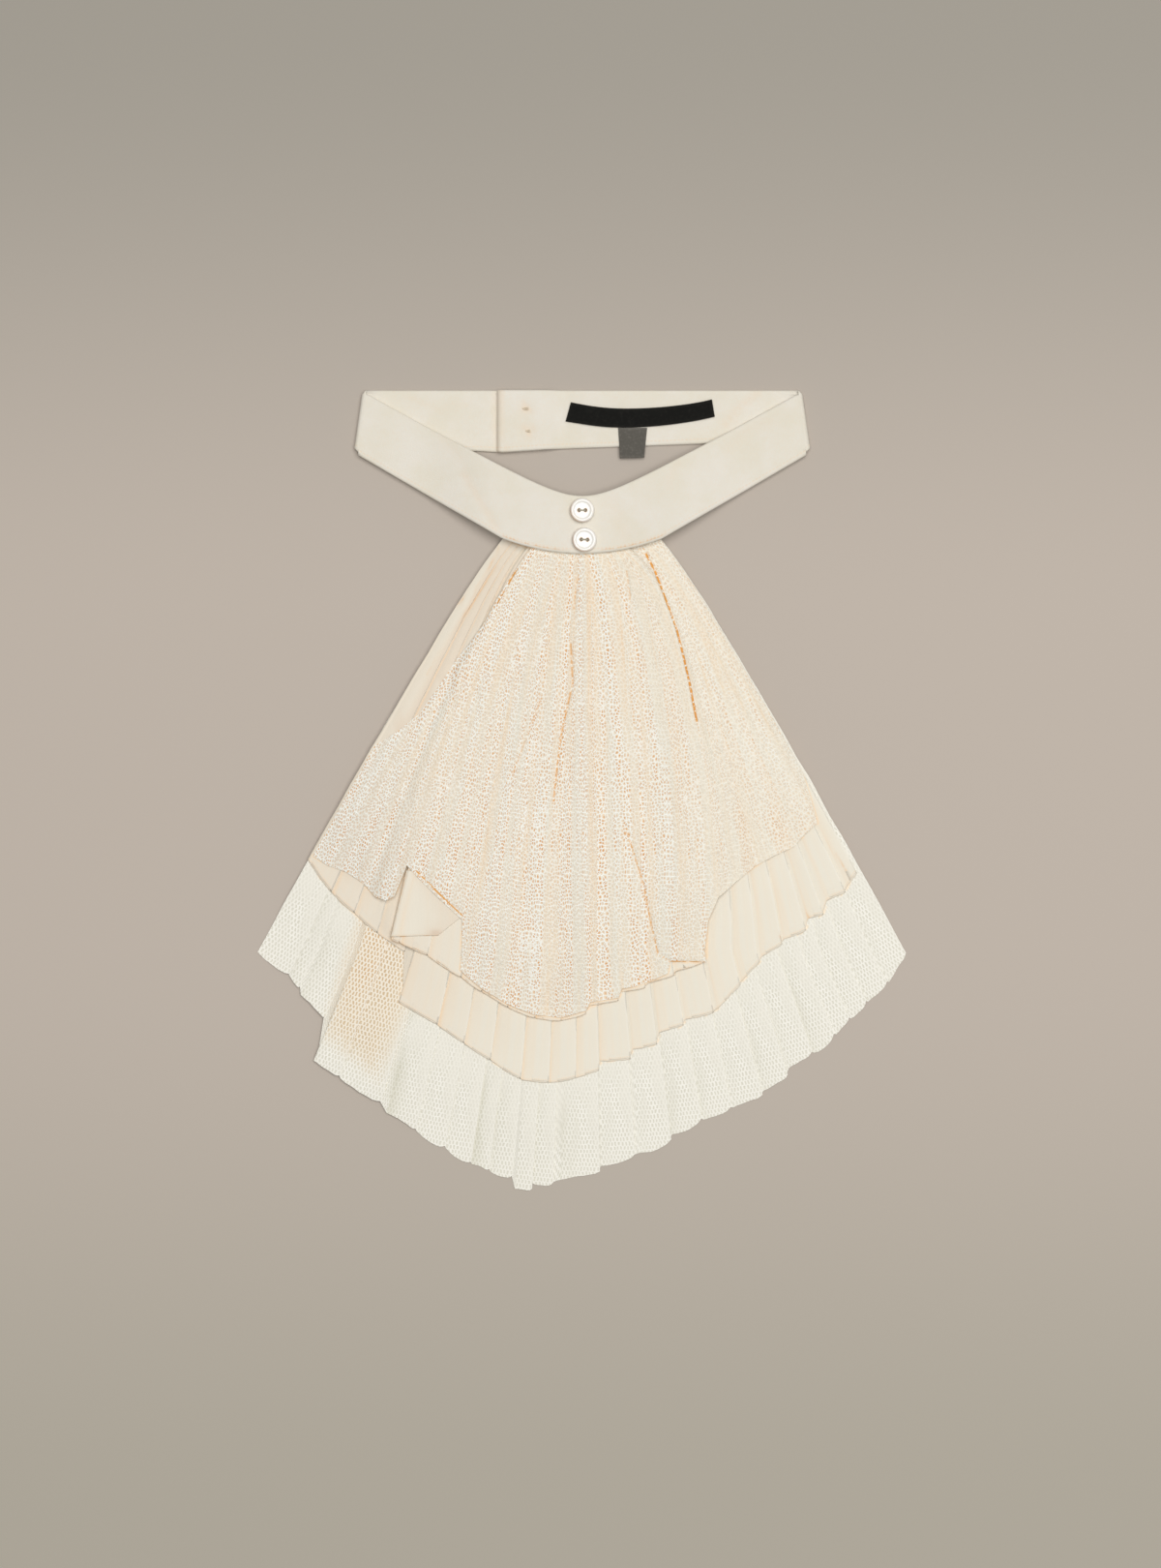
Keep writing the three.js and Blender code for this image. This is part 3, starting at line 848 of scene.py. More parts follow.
class Finish(ABC):
    """How a piece looks."""

    name: str

    @abstractmethod
    def dress(self, bench: Bench) -> None:
        """Sets the nodes of the material."""

    def material(self) -> bpy.types.Material:
        """The finish as a new material.

        Returns:
            The material.
        """
        bench = Bench(self.name)
        self.dress(bench)
        return bench.material


@dataclass(frozen=True)
class Georgette(Finish):
    """Fine cream georgette with pressed pleats: painted peach shade in the hollows, a painted highlight on
    the folds.
    """

    name: str
    cream: Colour = linear(239, 234, 220)
    peach: Colour = linear(243, 231, 211)
    # The colour of the shade painted under the lace, towards the left and over the tucked pleat.
    shaded: Colour = linear(226, 208, 188)
    # The colour of the shade painted in the pleat hollows, also used for the hem stitches.
    hollow: Colour = linear(244, 208, 166)
    # The colour of the shade lines painted along pressed creases and at the hem.
    seam: Colour = linear(234, 190, 140)
    # The colour of the shade painted next to edges that lie on this cloth.
    contact_shade: Colour = linear(255, 224, 186)
    # The colour of the highlight painted along each fold.
    light: Colour = linear(251, 247, 237)
    shadow_reach: float = 1.5
    fold_highlight_reach: float = 0.35
    thread_pitch: float = 0.32
    stitch_pitch: float = 0.45
    stitch_line: float = 0.7

    def dress(self, bench: Bench) -> None:
        """Sets the nodes of the material.

        Args:
            bench: the material's node tree.
        """
        across, along = bench.cloth()
        from_start, from_fold, from_hem = bench.marks("from_start", "from_fold", "from_hem")
        shade, warmth, doubled, accent, covered, edge = bench.marks(
            "shade", "warmth", "doubled", "accent", "covered", "edge"
        )
        threads = bench.noise(bench.join(across * 2.2, along * 0.02), 1.0, 3.0, 0.65)
        streaks = bench.noise(bench.join(across * 0.35, along * 0.010))
        clouds = bench.noise(bench.place(), 0.035, 3.0)
        # The peach tone mixes uneven threads, streaks and clouds, single plies and the painted shade.
        warm = threads.fade(0.4, 0.75) * 0.2 + streaks.fade(0.4, 0.7) * 0.4
        warm = warm + (clouds - 0.5) * 0.5 + (1 - doubled) * 0.25 + warmth * 0.5
        colour = bench.tint((warm * 0.8).clamped(), self.cream, self.peach)
        # Painted shade under the lace, in the flap's corner and over the tucked pleat; also darker towards
        # the left and along the wide strip.
        colour = bench.tint((warmth * 0.6).clamped(), colour, self.shaded)
        # Painted highlight: lighter along each fold edge.
        colour = bench.tint(from_fold.near(self.fold_highlight_reach) * 0.45, colour, self.light)
        # Painted shade in the hollow at each pleat's start, under the fold of the pleat before it.
        crease = (from_start.near(self.shadow_reach) * 0.55 + from_start.near(0.35) * 0.35) * shade
        colour = bench.tint(crease.clamped(), colour, self.hollow)
        stitches = bench.math("PINGPONG", across, self.stitch_pitch).fade(0.08, 0.2)
        stitches = abs(from_hem - self.stitch_line).fade(0.3, 0.1) * stitches
        colour = bench.tint(stitches * 0.35, colour, self.hollow)
        breaks = bench.noise(bench.join(along * 0.5), 1.0, 1.0)
        # Painted shade lines along the pressed creases, broken here and there.
        colour = bench.tint(accent.near(0.35) * breaks.fade(0.25, 0.5) * 0.75, colour, self.seam)
        # Painted shade next to edges that lie on this cloth.
        colour = bench.tint(covered.fade(1.0, 0.3) * 0.6, colour, self.contact_shade)
        # Painted shade line along the hem, broken by the streaks; the edge mark sets its strength.
        turned = from_hem.fade(0.5, 0.15) * streaks.fade(0.35, 0.6)
        colour = bench.tint(turned * edge, colour, self.seam)
        weave = across.sine(self.thread_pitch) + along.sine(self.thread_pitch)
        crinkle = bench.noise(bench.place(), 1.7, 4.0, 0.65)
        bench.bump(weave * 0.12 + crinkle * 0.7 + threads, 0.07)
        bench.surface(
            Base_Color=colour,
            Roughness=crinkle.between(0.62, 0.82),
            Sheen_Weight=0.15,
            Sheen_Roughness=0.5,
        )


@dataclass(frozen=True)
class Net(Finish):
    """Stiff off-white net of small six-sided holes, with the peach of the cloth under it showing."""

    name: str = "net_off_white"
    thread: Colour = linear(251, 249, 241)
    close: Colour = linear(240, 237, 226)
    between: Colour = linear(226, 223, 209)
    # The colour of the shade painted at each pleat's start.
    hollow: Colour = linear(208, 205, 184)
    peach: Colour = linear(236, 211, 172)
    deep_peach: Colour = linear(232, 170, 96)
    # The colour of the shade painted next to edges that lie on the net.
    contact_shade: Colour = linear(254, 234, 206)
    hole_width: float = 1.4
    hole_height: float = 3.7
    shadow_reach: float = 2.4

    def dress(self, bench: Bench) -> None:
        """Sets the nodes of the material.

        Args:
            bench: the material's node tree.
        """
        across, along = bench.cloth()
        from_start, from_fold, from_hem = bench.marks("from_start", "from_fold", "from_hem")
        shade, over_tuck, deep, covered = bench.marks("shade", "over_tuck", "deep", "covered")
        moved_x = (bench.noise(bench.join(across, along), 0.30, 2.0, 0.6) - 0.5) * 1.5 + across
        moved_y = (bench.noise(bench.join(along, across), 0.26, 2.0, 0.6) - 0.5) * 1.8 + along
        gap = bench.mesh_threads(moved_x, moved_y, self.hole_width, self.hole_height)
        thread = gap.fade(0.42, 0.14)
        patches = bench.noise(bench.join(across * 0.14, along * 0.03), 1.0, 3.0, 0.6)
        low = from_hem.fade(34, 6) * patches.fade(0.3, 0.5)
        clear = patches.fade(0.42, 0.62).most(over_tuck).most(low * 0.85)
        ground = bench.tint(clear, self.close, self.between)
        ground = bench.tint(over_tuck * 0.85, ground, self.peach)
        ground = bench.tint(deep * gap.fade(0.25, 0.6), ground, self.deep_peach)
        shown = thread * (clear * 0.8 + 0.1) * over_tuck.between(1.0, 0.7)
        colour = bench.tint(shown, ground, self.thread)
        # Painted shade at each pleat's start, under the fold before it, uneven in reach and strength and
        # weaker over the tucked pleat.
        uneven = bench.noise(bench.join(across * 0.10, along * 0.035))
        reach = uneven.between(0.4 * self.shadow_reach, 2.2 * self.shadow_reach)
        crease = bench.math("EXPONENT", from_start * -1.0 / reach) * (shade * 0.75)
        crease = crease * over_tuck.between(1.0, 0.3) * uneven.fade(0.3, 0.6)
        colour = bench.tint(crease, colour, self.hollow)
        # Painted highlight along each fold edge.
        colour = bench.tint(from_fold.near(0.4) * 0.5, colour, self.thread)
        # Painted shade next to edges that lie on the net.
        colour = bench.tint(covered.fade(1.0, 0.3) * 0.7, colour, self.contact_shade)
        veil = (over_tuck * over_tuck).between(0.97, 0.8)
        bench.bump(thread, 0.07)
        bench.surface(
            Base_Color=colour,
            Alpha=thread.between(veil, 1.0),
            Roughness=thread.between(0.85, 0.6),
            Sheen_Weight=0.1,
        )


@dataclass(frozen=True)
class Lace(Finish):
    """Fine uneven lace: white threads with peach showing in the holes, and a few faint flowers."""

    name: str = "lace_off_white"
    thread: Colour = linear(250, 252, 247)
    ground: Colour = linear(236, 230, 214)
    # The ground's colour in its warm streaks and where shade is painted between the ridges.
    warm_and_shaded_ground: Colour = linear(245, 221, 190)
    faint_ground: Colour = linear(243, 237, 221)
    peach: Colour = linear(226, 170, 116)
    left_ground: Colour = linear(228, 222, 208)
    # The colour of the shade painted in the deep folds.
    hollow: Colour = linear(230, 162, 66)
    hole_size: Point = (1.35, 1.6)
    scatter: float = 0.85
    flower_pitch: float = 33.0
    petals: int = 5

    def flowers(self, bench: Bench) -> Value:
        """Scattered flowers.

        Args:
            bench: the material's node tree.

        Returns:
            How near a place is to an outline of a flower.
        """
        x, y, _ = bench.place().split()
        x, y = x * (1 / self.flower_pitch), y * (1 / self.flower_pitch)
        cell = bench.cells(bench.join(x, y), 0.9)
        middle_x, middle_y, _ = cell.beside("Position").split()
        turn, size, kept = cell.beside("Color").split()
        x, y = x - middle_x, y - middle_y
        angle = bench.math("ARCTAN2", y, x) + turn * math.pi
        radius = bench.math("SQRT", x * x + y * y) * self.flower_pitch
        wave = abs(bench.math("COSINE", angle * (self.petals / 2)))
        reach = (wave * 3.6 + 2.6) * size.between(0.7, 1.3)
        ring = abs(radius - 1.5).fade(0.5, 0.15)
        return abs(radius - reach).fade(0.7, 0.2).most(ring) * kept.fade(0.3, 0.5)

    def dress(self, bench: Bench) -> None:
        """Sets the nodes of the material.

        Args:
            bench: the material's node tree.
        """
        across, along = bench.cloth()
        place = bench.join(across, along)
        valley, slit, ridge, dense = bench.marks("valley", "slit", "ridge", "dense")
        faint, from_start, left = bench.marks("faint", "from_start", "left")
        moved_x = (bench.noise(place, 0.20, 2.0, 0.6) - 0.5) * 2.2 + across
        moved_y = (bench.noise(bench.join(along, across), 0.17, 2.0, 0.6) - 0.5) * 2.2 + along
        holes = bench.join(moved_x * (1 / self.hole_size[0]), moved_y * (1 / self.hole_size[1]))
        hole = bench.cells(holes, self.scatter).fade(0.42, 0.14)
        wall = bench.cells(holes, self.scatter, "DISTANCE_TO_EDGE").fade(0.2, 0.06)
        wall = wall.most(self.flowers(bench) * 0.6)
        strips = bench.noise(bench.join(across * 0.17, along * 0.009))
        streaks = bench.noise(bench.join(across * 0.5, along * 0.02), 1.0, 3.0, 0.6)
        patches = bench.noise(place, 0.06, 3.0, 0.6)
        open_weave = strips.fade(0.42, 0.58) * streaks.fade(0.4, 0.6).between(0.35, 1.15)
        open_weave = (open_weave + (1 - dense) * 0.25) * patches.fade(0.4, 0.65).between(0.6, 1.15)
        # Painted shade in the hollows between the ridges and over the pleat starts beneath, mixed with uneven
        # warm streaks.
        warm = (1 - ridge) * 0.45 + from_start.near(1.5) * 0.5 + open_weave * 0.25
        warm = warm + streaks.fade(0.5, 0.65) * 0.4 + strips.fade(0.44, 0.34) * 0.3
        warm = (warm * faint.between(0.85, 0.5)).clamped()
        ground = bench.tint(warm, bench.tint(faint, self.ground, self.faint_ground), self.warm_and_shaded_ground)
        ground = bench.tint(left * 0.8, ground, self.left_ground)
        strength = open_weave.most(left * 0.4) * faint.between(1.0, 0.3)
        colour = bench.tint((hole * strength).clamped(), ground, self.peach)
        white = faint.between(1.0, 0.45) * strips.fade(0.35, 0.6).between(0.35, 1.0)
        colour = bench.tint(wall * white, colour, self.thread)
        # Painted shade in the deep folds: broken dashes along each fold line, and its holes filled dark and
        # opaque.
        breaks = bench.noise(bench.join(across * 0.3, along * 0.62), 1.0, 1.0)
        dashes = slit.fade(0.6, 0.3) * breaks.fade(0.42, 0.5)
        deep = (dashes * 0.95).most(hole * valley * 0.8) * valley.fade(0.08, 0.75)
        colour = bench.tint(deep.clamped(), colour, self.hollow)
        bench.bump(wall - hole * 0.6, 0.08)
        bench.surface(
            Base_Color=colour,
            Alpha=wall.between(hole.between(0.99, 0.95), 1.0).most(deep).clamped(),
            Roughness=wall.between(0.85, 0.65),
            Sheen_Weight=0.1,
        )


@dataclass(frozen=True)
class Crepe(Finish):
    """The band's cream crepe: fine uneven threads, softly clouded, peach along the seam."""

    name: str = "crepe_cream"
    cream: Colour = linear(234, 229, 214)
    pale: Colour = linear(238, 234, 224)
    peach: Colour = linear(240, 212, 180)
    thread: Colour = linear(230, 190, 146)
    thread_pitch: float = 0.38
    stitch_pitch: float = 0.8
    stitch_line: float = 1.9

    def dress(self, bench: Bench) -> None:
        """Sets the nodes of the material.

        Args:
            bench: the material's node tree.
        """
        across, along = bench.cloth()
        from_foot, crease, over_pleats = bench.marks("from_foot", "crease", "over_pleats")
        clouds = bench.noise(bench.place(), 0.06, 4.0, 0.6)
        warp = bench.noise(bench.join(across * 0.5, along * 4.0), 1.0, 2.0, 0.7)
        weft = bench.noise(bench.join(across * 4.0, along * 0.5), 1.0, 2.0, 0.7)
        threads = warp + weft
        dash = bench.math("PINGPONG", across, self.stitch_pitch).fade(0.15, 0.4)
        stitches = abs(from_foot - self.stitch_line).fade(0.45, 0.05) * dash
        uneven = bench.noise(bench.join(across * 0.25))
        roll = abs(from_foot + uneven.between(-0.6, -1.7)).fade(0.5, 0.1)
        roll = roll * uneven.fade(0.35, 0.55) * over_pleats
        colour = bench.tint(clouds.fade(0.3, 0.7), self.cream, self.pale)
        colour = bench.tint(threads.fade(0.85, 1.25) * 0.16, colour, self.peach)
        colour = bench.tint(stitches * 0.35, colour, self.peach)
        # Painted peach shade in the band's creases, along the lap and round the tacks.
        colour = bench.tint((crease * 0.8).clamped(), colour, self.peach)
        colour = bench.tint(roll * (dash * 0.35 + 0.4), colour, self.thread)
        weave = across.sine(self.thread_pitch) * along.sine(self.thread_pitch)
        bench.bump(weave * 0.25 + threads * 0.8 + clouds * 1.2, 0.12)
        bench.surface(
            Base_Color=colour,
            Roughness=threads.between(0.55, 0.8),
            Sheen_Weight=0.2,
            Sheen_Roughness=0.5,
        )


@dataclass(frozen=True)
class Tape(Finish):
    """Woven tape with fine ribs, a little paler on its worn edges."""

    name: str
    dark: Colour
    worn: Colour
    rib_pitch: float = 0.5

    def dress(self, bench: Bench) -> None:
        """Sets the nodes of the material.

        Args:
            bench: the material's node tree.
        """
        across, along = bench.cloth()
        (edge,) = bench.marks("edge")
        weave = across.sine(self.rib_pitch) * along.sine(self.rib_pitch * 0.7)
        lint = bench.noise(bench.place(), 0.9, 4.0, 0.65)
        pale = (edge * 0.5 + lint.fade(0.45, 0.8) * 0.4).clamped()
        bench.bump(weave * 0.6 + lint, 0.08)
        bench.surface(
            Base_Color=bench.tint(pale, self.dark, self.worn),
            Roughness=lint.between(0.65, 0.9),
            Specular_IOR_Level=0.15,
        )


@dataclass(frozen=True)
class Pearl(Finish):
    """Polished shell, faintly clouded, brown inside the drilled holes, with shade painted on the lower left
    of its rim.
    """

    name: str
    white: Colour = linear(249, 247, 243)
    rose: Colour = linear(246, 240, 231)
    green: Colour = linear(238, 240, 232)
    # The colour of the shade painted on the rim.
    brown: Colour = linear(190, 142, 98)
    bored: Colour = linear(250, 200, 136)

    def dress(self, bench: Bench) -> None:
        """Sets the nodes of the material.

        Args:
            bench: the material's node tree.
        """
        rim, bore = bench.marks("rim", "bore")
        place = bench.place()
        bands = bench.noise(place, 0.22, 4.0, 0.6)
        veins = bench.noise(place, 0.6, 3.0, 0.7)
        colour = bench.tint(bands.fade(0.4, 0.75), self.white, self.rose)
        colour = bench.tint(veins.fade(0.5, 0.75) * 0.7, colour, self.green)
        # Painted shade on the rim, strongest on its lower left.
        colour = bench.tint(rim * 0.8, colour, self.brown)
        bench.bump(bands, 0.03)
        bench.surface(
            Base_Color=bench.tint(bore, colour, self.bored),
            Roughness=veins.between(0.16, 0.3),
            Specular_IOR_Level=0.5,
            Coat_Weight=0.4,
            Coat_Roughness=0.1,
        )


@dataclass(frozen=True)
class Thread(Finish):
    """Twisted sewing thread."""

    name: str
    colour: Colour
    shade: Colour
    twist_pitch: float = 0.45

    def dress(self, bench: Bench) -> None:
        """Sets the nodes of the material.

        Args:
            bench: the material's node tree.
        """
        across, along = bench.cloth()
        twist = (across * 2.2 + along).sine(self.twist_pitch)
        colour = bench.tint(twist * 0.4 + 0.5, self.shade, self.colour)
        bench.bump(twist, 0.03)
        bench.surface(Base_Color=colour, Roughness=0.6)


@dataclass(frozen=True)
class Paper(Finish):
    """The pale warm grey paper that the jabot lies on, with painted light: brighter round the jabot and a
    little darker away from it.
    """

    name: str = "paper_grey"
    middle: Colour = linear(191, 181, 171)
    above: Colour = linear(162, 157, 148)
    below: Colour = linear(177, 171, 159)

    def dress(self, bench: Bench) -> None:
        """Sets the nodes of the material.

        Args:
            bench: the material's node tree.
        """
        _, y, _ = bench.place().split()
        # Painted light: brightest round the jabot, darker further up and further down.
        colour = bench.tint(y.fade(70.0, 330.0), self.middle, self.above)
        colour = bench.tint(y.fade(-60.0, -300.0), colour, self.below)
        bench.bump(bench.noise(bench.place(), 1.2, 3.0), 0.02)
        bench.surface(Base_Color=colour, Roughness=0.9, Specular_IOR_Level=0.2)


class Held(Enum):
    """How a sheet of cloth is held."""

    GATHERED = "gathered"
    LAID = "laid"
    FOLDED = "folded"


@dataclass(frozen=True)
class Cut:
    """A cloth as it was cut, in metres."""

    width: float
    length: float
    area: float
    held: Held
    rests_on: tuple[str, ...] = ()

    def declare(self, piece: Thing, extras: Sequence[Thing] = ()) -> None:
        """Does nothing: nothing about the piece is recorded.

        Args:
            piece: the piece; not used.
            extras: pieces of the same cloth that lie on it; not used.
        """


@dataclass(kw_only=True)
class ClothPiece(ABC):
    """A piece of cloth that takes the place of one solid."""

    node: str
    slot: str
    finish: Finish
    cut: Cut
    sheet_wall: float = 0.0
    kind: ClassVar[str] = "cloth"
    closed: ClassVar[bool] = False

    @abstractmethod
    def web(self) -> Web:
        """The piece's points, with what its finish reads."""

    def extras(self) -> list[Thing]:
        """Makes the pieces of the same cloth that lie on it, which it dresses."""
        return []

    def build(self) -> Thing:
        """Makes the piece.

        Returns:
            The piece, dressed.
        """
        extras = self.extras()
        piece = self.web().piece(f"{self.node}_{self.kind}", self.closed)
        look = self.finish.material()
        for part in (piece, *extras):
            part.data.materials.append(look)
        if self.sheet_wall:
            thicken(piece, self.sheet_wall)
        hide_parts(self.node)
        self.cut.declare(piece, extras)
        return piece


@dataclass(frozen=True)
class Ply:
    """One line of points up the cloth, from the hem to the seam."""

    x: float
    y: float
    height: float
    nudge: float
    run: float
    share: float
    seen: float
    pleat: int
    doubled: float = 1.0


@dataclass(frozen=True)
class Ribbon:
    """A tier's cloth from above, with a column for each ply."""

    plies: dict[str, Array]
    pleat: Array
    angle: Array
    hem_y: Array
    x: Array
    y: Array
    width: Array
    covered: Array

    @property
    def from_hem(self) -> Array:
        """How far up from the hem each point is."""
        return self.y - self.hem_y


@dataclass(kw_only=True)
class PleatedTier(ClothPiece):
    """A tier of cloth in knife pleats: one ribbon folded back and forth under each visible panel."""

    pleats: tuple[Pleat, ...]
    level: int
    seed: int
    depths: Point
    drop: float
    ply: float = 0.4
    relief: float = 0.42
    hem_sag: float = 0.35
    hem_ripple: float = 0.12
    drop_inside: float = 0.02
    settle: Point = (4.0, 30.0)
    first_shade: float = 0.0
    least_shade: float = 0.45
    # How strong the painted shade line along the hem is.
    hem_shade: float = 0.0
    under_hem: float = 0.5
    waviness: float = 0.45
    floor: float = 0.05
    seen_shares: tuple[float, ...] = (0.0, 0.06, 0.14, 0.22, 0.3, 0.38, 0.46, 0.56, 0.68, 0.8, 0.9, 0.97, 1.0)
    fold_turns: tuple[float, ...] = (45.0, 90.0, 135.0)
    hem_steps: tuple[float, ...] = (0.0, 0.5, 1.0, 1.5, 2.5, 4.0, 7.0, 12.0)
    body_rows: int = 40

    def seen_panel(self, number: int, pleat: Pleat, depth: float) -> list[Ply]:
        """The lines of the panel that shows, doubled where the fold lies under it.

        Args:
            number: the pleat's number.
            pleat: the pleat.
            depth: how far its fold goes back, as a share of it.

        Returns:
            The lines.
        """
        lines = []
        for share in self.seen_shares:
            doubled = float(share >= 1 - depth)
            lines.append(Ply(*pleat.hem(share), pleat.height(share), 0, share - 1, share, 1, number, doubled))
        return lines

    def turn(self, number: int, hem: Point, height: float, side: int, run: float, seen: float) -> list[Ply]:
        """The lines round a fold, downwards.

        Args:
            number: the pleat's number.
            hem: where the fold meets the hem.
            height: the share of the rise above the fold.
            side: 1 to the right and -1 to the left.
            run: how far along the cloth the fold is, in panels.
            seen: 1 where the fold shows.

        Returns:
            The lines.
        """
        lines = []
        for degrees in self.fold_turns:
            angle = math.radians(degrees)
            sunk = height - self.ply / 2 * (1 - math.cos(angle))
            lines.append(Ply(*hem, sunk, side * self.ply / 2 * math.sin(angle), run, 1, seen, number))
        return lines

    def folded_under(self, number: int, pleat: Pleat, after: Optional[Pleat], depth: float) -> list[Ply]:
        """The lines that fold back under a panel, and out again towards the next one.

        Args:
            number: the pleat's number.
            pleat: the pleat.
            after: the next pleat, where there is one.
            depth: how far the fold goes back, as a share of the panel.

        Returns:
            The lines.
        """
        lines = self.turn(number, pleat.hem(1), pleat.height(1), 1, 0, 1)
        for way in (0.1, 0.5, 1.0):
            share = 1 - depth * way
            height = pleat.height(share) - self.ply
            lines.append(Ply(*pleat.hem(share), height, 0, depth * way, share, 0, number))
        if after is None:
            return lines
        share = 1 - depth
        lines += self.turn(number, pleat.hem(share), pleat.height(share) - self.ply, -1, depth, 0)
        low = pleat.height(share) - 2 * self.ply
        goal = pleat.end_height - 3 * self.ply if after.lies_on(pleat) else after.start_height
        for way in (0.05, 0.5, 0.92):
            place = share + depth * way
            height = low + (goal - low) * way
            lines.append(Ply(*pleat.hem(place), height, 0, depth * (1 + way), place, 0, number))
        return lines

    def raised_start(self, number: int, pleat: Pleat) -> list[Ply]:
        """The lines under a panel whose left edge is a fold of its own.

        Args:
            number: the pleat's number.
            pleat: the pleat.

        Returns:
            The lines.
        """
        lines = []
        for plies, start, shares in ((2, -1.7, (0.1, 0.35)), (1, -1, (0.3, 0.03))):
            for share in shares:
                run = share + start if plies == 2 else start - share
                height = pleat.height(share) - plies * self.ply
                lines.append(Ply(*pleat.hem(share), height, 0, run, share, 0, number))
        return lines + self.turn(number, pleat.hem(0), pleat.height(0), -1, -1, 1)[::-1]

    def plies(self) -> list[Ply]:
        """Every line of the ribbon, from its left end to its right end.

        Returns:
            The lines.
        """
        dice = random.Random(self.seed)
        lines: list[Ply] = []
        for number, (pleat, after) in enumerate(zip(self.pleats, (*self.pleats[1:], None))):
            depth = dice.uniform(*self.depths)
            lines += self.seen_panel(number, pleat, depth)
            lines += self.folded_under(number, pleat, after, depth)
            if after and after.lies_on(pleat):
                lines += self.raised_start(number + 1, after)
        return lines

    def ribbon(self) -> Ribbon:
        """The cloth from above, its hem slack between the folds.

        Returns:
            The cloth's lines and places.
        """
        table = np.array([astuple(ply) for ply in self.plies()], float)
        plies = {column.name: table[:, [k]] for k, column in enumerate(fields(Ply))}
        pleat = plies["pleat"].astype(int)
        angle = FAN.angle_at(plies["x"], plies["y"])
        sag = np.random.default_rng(self.seed + 5).uniform(-0.4, 1.0, len(self.pleats))[pleat]
        bow = -sag * self.hem_sag * np.sin(np.pi * plies["share"])
        bow += 0.6 * self.hem_sag * smooth(plies["share"], 0.86, 1.0)
        bow += self.hem_ripple * ripple(plies["x"], plies["y"], 2.6, 9, self.seed + 7)
        hem_y = plies["y"] + self.under_hem * (1 - plies["seen"]) + bow
        y = hem_y + hem_rows(hem_y, FAN.seam_y(angle), self.hem_steps, self.body_rows)
        x = FAN.x_at(angle, y)
        starts, ends = (FAN.angle_at(*hem_points(self.pleats, share).T)[pleat] for share in (0, 1))
        width = np.maximum(FAN.x_at(ends, y) - FAN.x_at(starts, y), 0.3) * np.cos(angle)
        return Ribbon(plies, pleat, angle, hem_y, x, y, width, covering_edges(self.level, x, y))

    def surface(self, height: Array, from_hem: Array, x: Array, y: Array) -> Array:
        """The level of the cloth, low at the hem and close under the next tier further up.

        Args:
            height: the share of the full rise.
            from_hem: how far up from the hem, in millimetres.
            x: places across.
            y: places down.

        Returns:
            Millimetres above the floor.
        """
        settled = smooth(from_hem, *self.settle)
        drop = self.drop + (self.drop_inside - self.drop) * settled
        return FAN.top(self.level, height + (1 - self.relief) * settled, x, y) - drop

    def levels(self, ribbon: Ribbon) -> Array:
        """How high the cloth lies.

        Args:
            ribbon: the cloth from above.

        Returns:
            Millimetres above the floor.
        """
        x, y, from_hem = ribbon.x, ribbon.y, ribbon.from_hem
        height = self.relief * ribbon.plies["height"] * (0.35 + 0.65 * smooth(from_hem, 0, 5))
        raised = smooth(ribbon.covered, 8, 1.5) * ribbon.plies["seen"]
        raised = raised * smooth(ribbon.plies["share"], 0.0, 0.9)
        height += 0.75 * (self.relief - height) * raised
        z = self.surface(height, from_hem, x, y)
        if self.level == 1:
            near = smooth(distance_to_line(x, y, FLAP_SIDE), 9, 1.5) * smooth(from_hem, 0.5, 8)
            z += near * (1 - lace_cover(x, y)) * (1 - smooth(from_hem, *self.settle)) * 1.4
        return np.maximum(z + 0.12 * ripple(x, y, 11, 26, self.seed + 0.5), self.floor)

    def marks(self, ribbon: Ribbon) -> dict[str, Union[float, Array]]:
        """What the finish reads.

        Args:
            ribbon: the cloth from above.

        Returns:
            The marks by name.
        """
        x, y, seen, share = ribbon.x, ribbon.y, ribbon.plies["seen"], ribbon.plies["share"]
        dice = np.random.default_rng(self.seed).uniform(0, 1, len(self.pleats))
        strength = (self.least_shade + (1 - self.least_shade) * dice**2)[ribbon.pleat]
        strength = np.clip(strength * (0.75 + 0.5 * ripple(x, y, 5, 35, self.seed + 3)), 0, 1)
        shown = np.where(ribbon.pleat > 0, 1.0, self.first_shade) * (0.3 + 0.7 * seen)
        marks = {
            "from_start": seen * share * ribbon.width + (1 - seen) * 4,
            "from_fold": seen * (1 - share) * ribbon.width + (1 - seen) * 4,
            "from_hem": ribbon.from_hem * np.cos(ribbon.angle),
            "shade": strength * shown * (1 - 0.5 * smooth(x, -20, 60)),
            "doubled": ribbon.plies["doubled"],
            # How far each point is from an edge lying on it, which the painted shade there reads.
            "covered": ribbon.covered,
        }
        if isinstance(self.finish, Net):
            marks["over_tuck"] = near_tuck(x, y)
            marks["deep"] = near_tuck(x, y) * smooth(y, -108, -62) * (0.8 + 0.7 * ripple(x, y, 9, 14, 4.4))
            return marks
        # Painted shade under the lace; also darker towards the left and along the wide strip.
        strip = distance_to_line(x, y, WIDE_STRIP) / (0.35 + 0.65 * smooth(y, 15, 85))
        lace_and_left_shade = 0.5 * lace_cover(x, y) + 0.45 * smooth(x - 0.1 * y, -10, -85)
        marks["warmth"] = lace_and_left_shade + 0.5 * smooth(strip, 4.8, 3.8)
        marks["accent"] = np.min([distance_to_line(x, y, line) for line in PRESSED_LINES], axis=0)
        # How strong the painted shade line along the hem is.
        marks["edge"] = self.hem_shade
        return marks

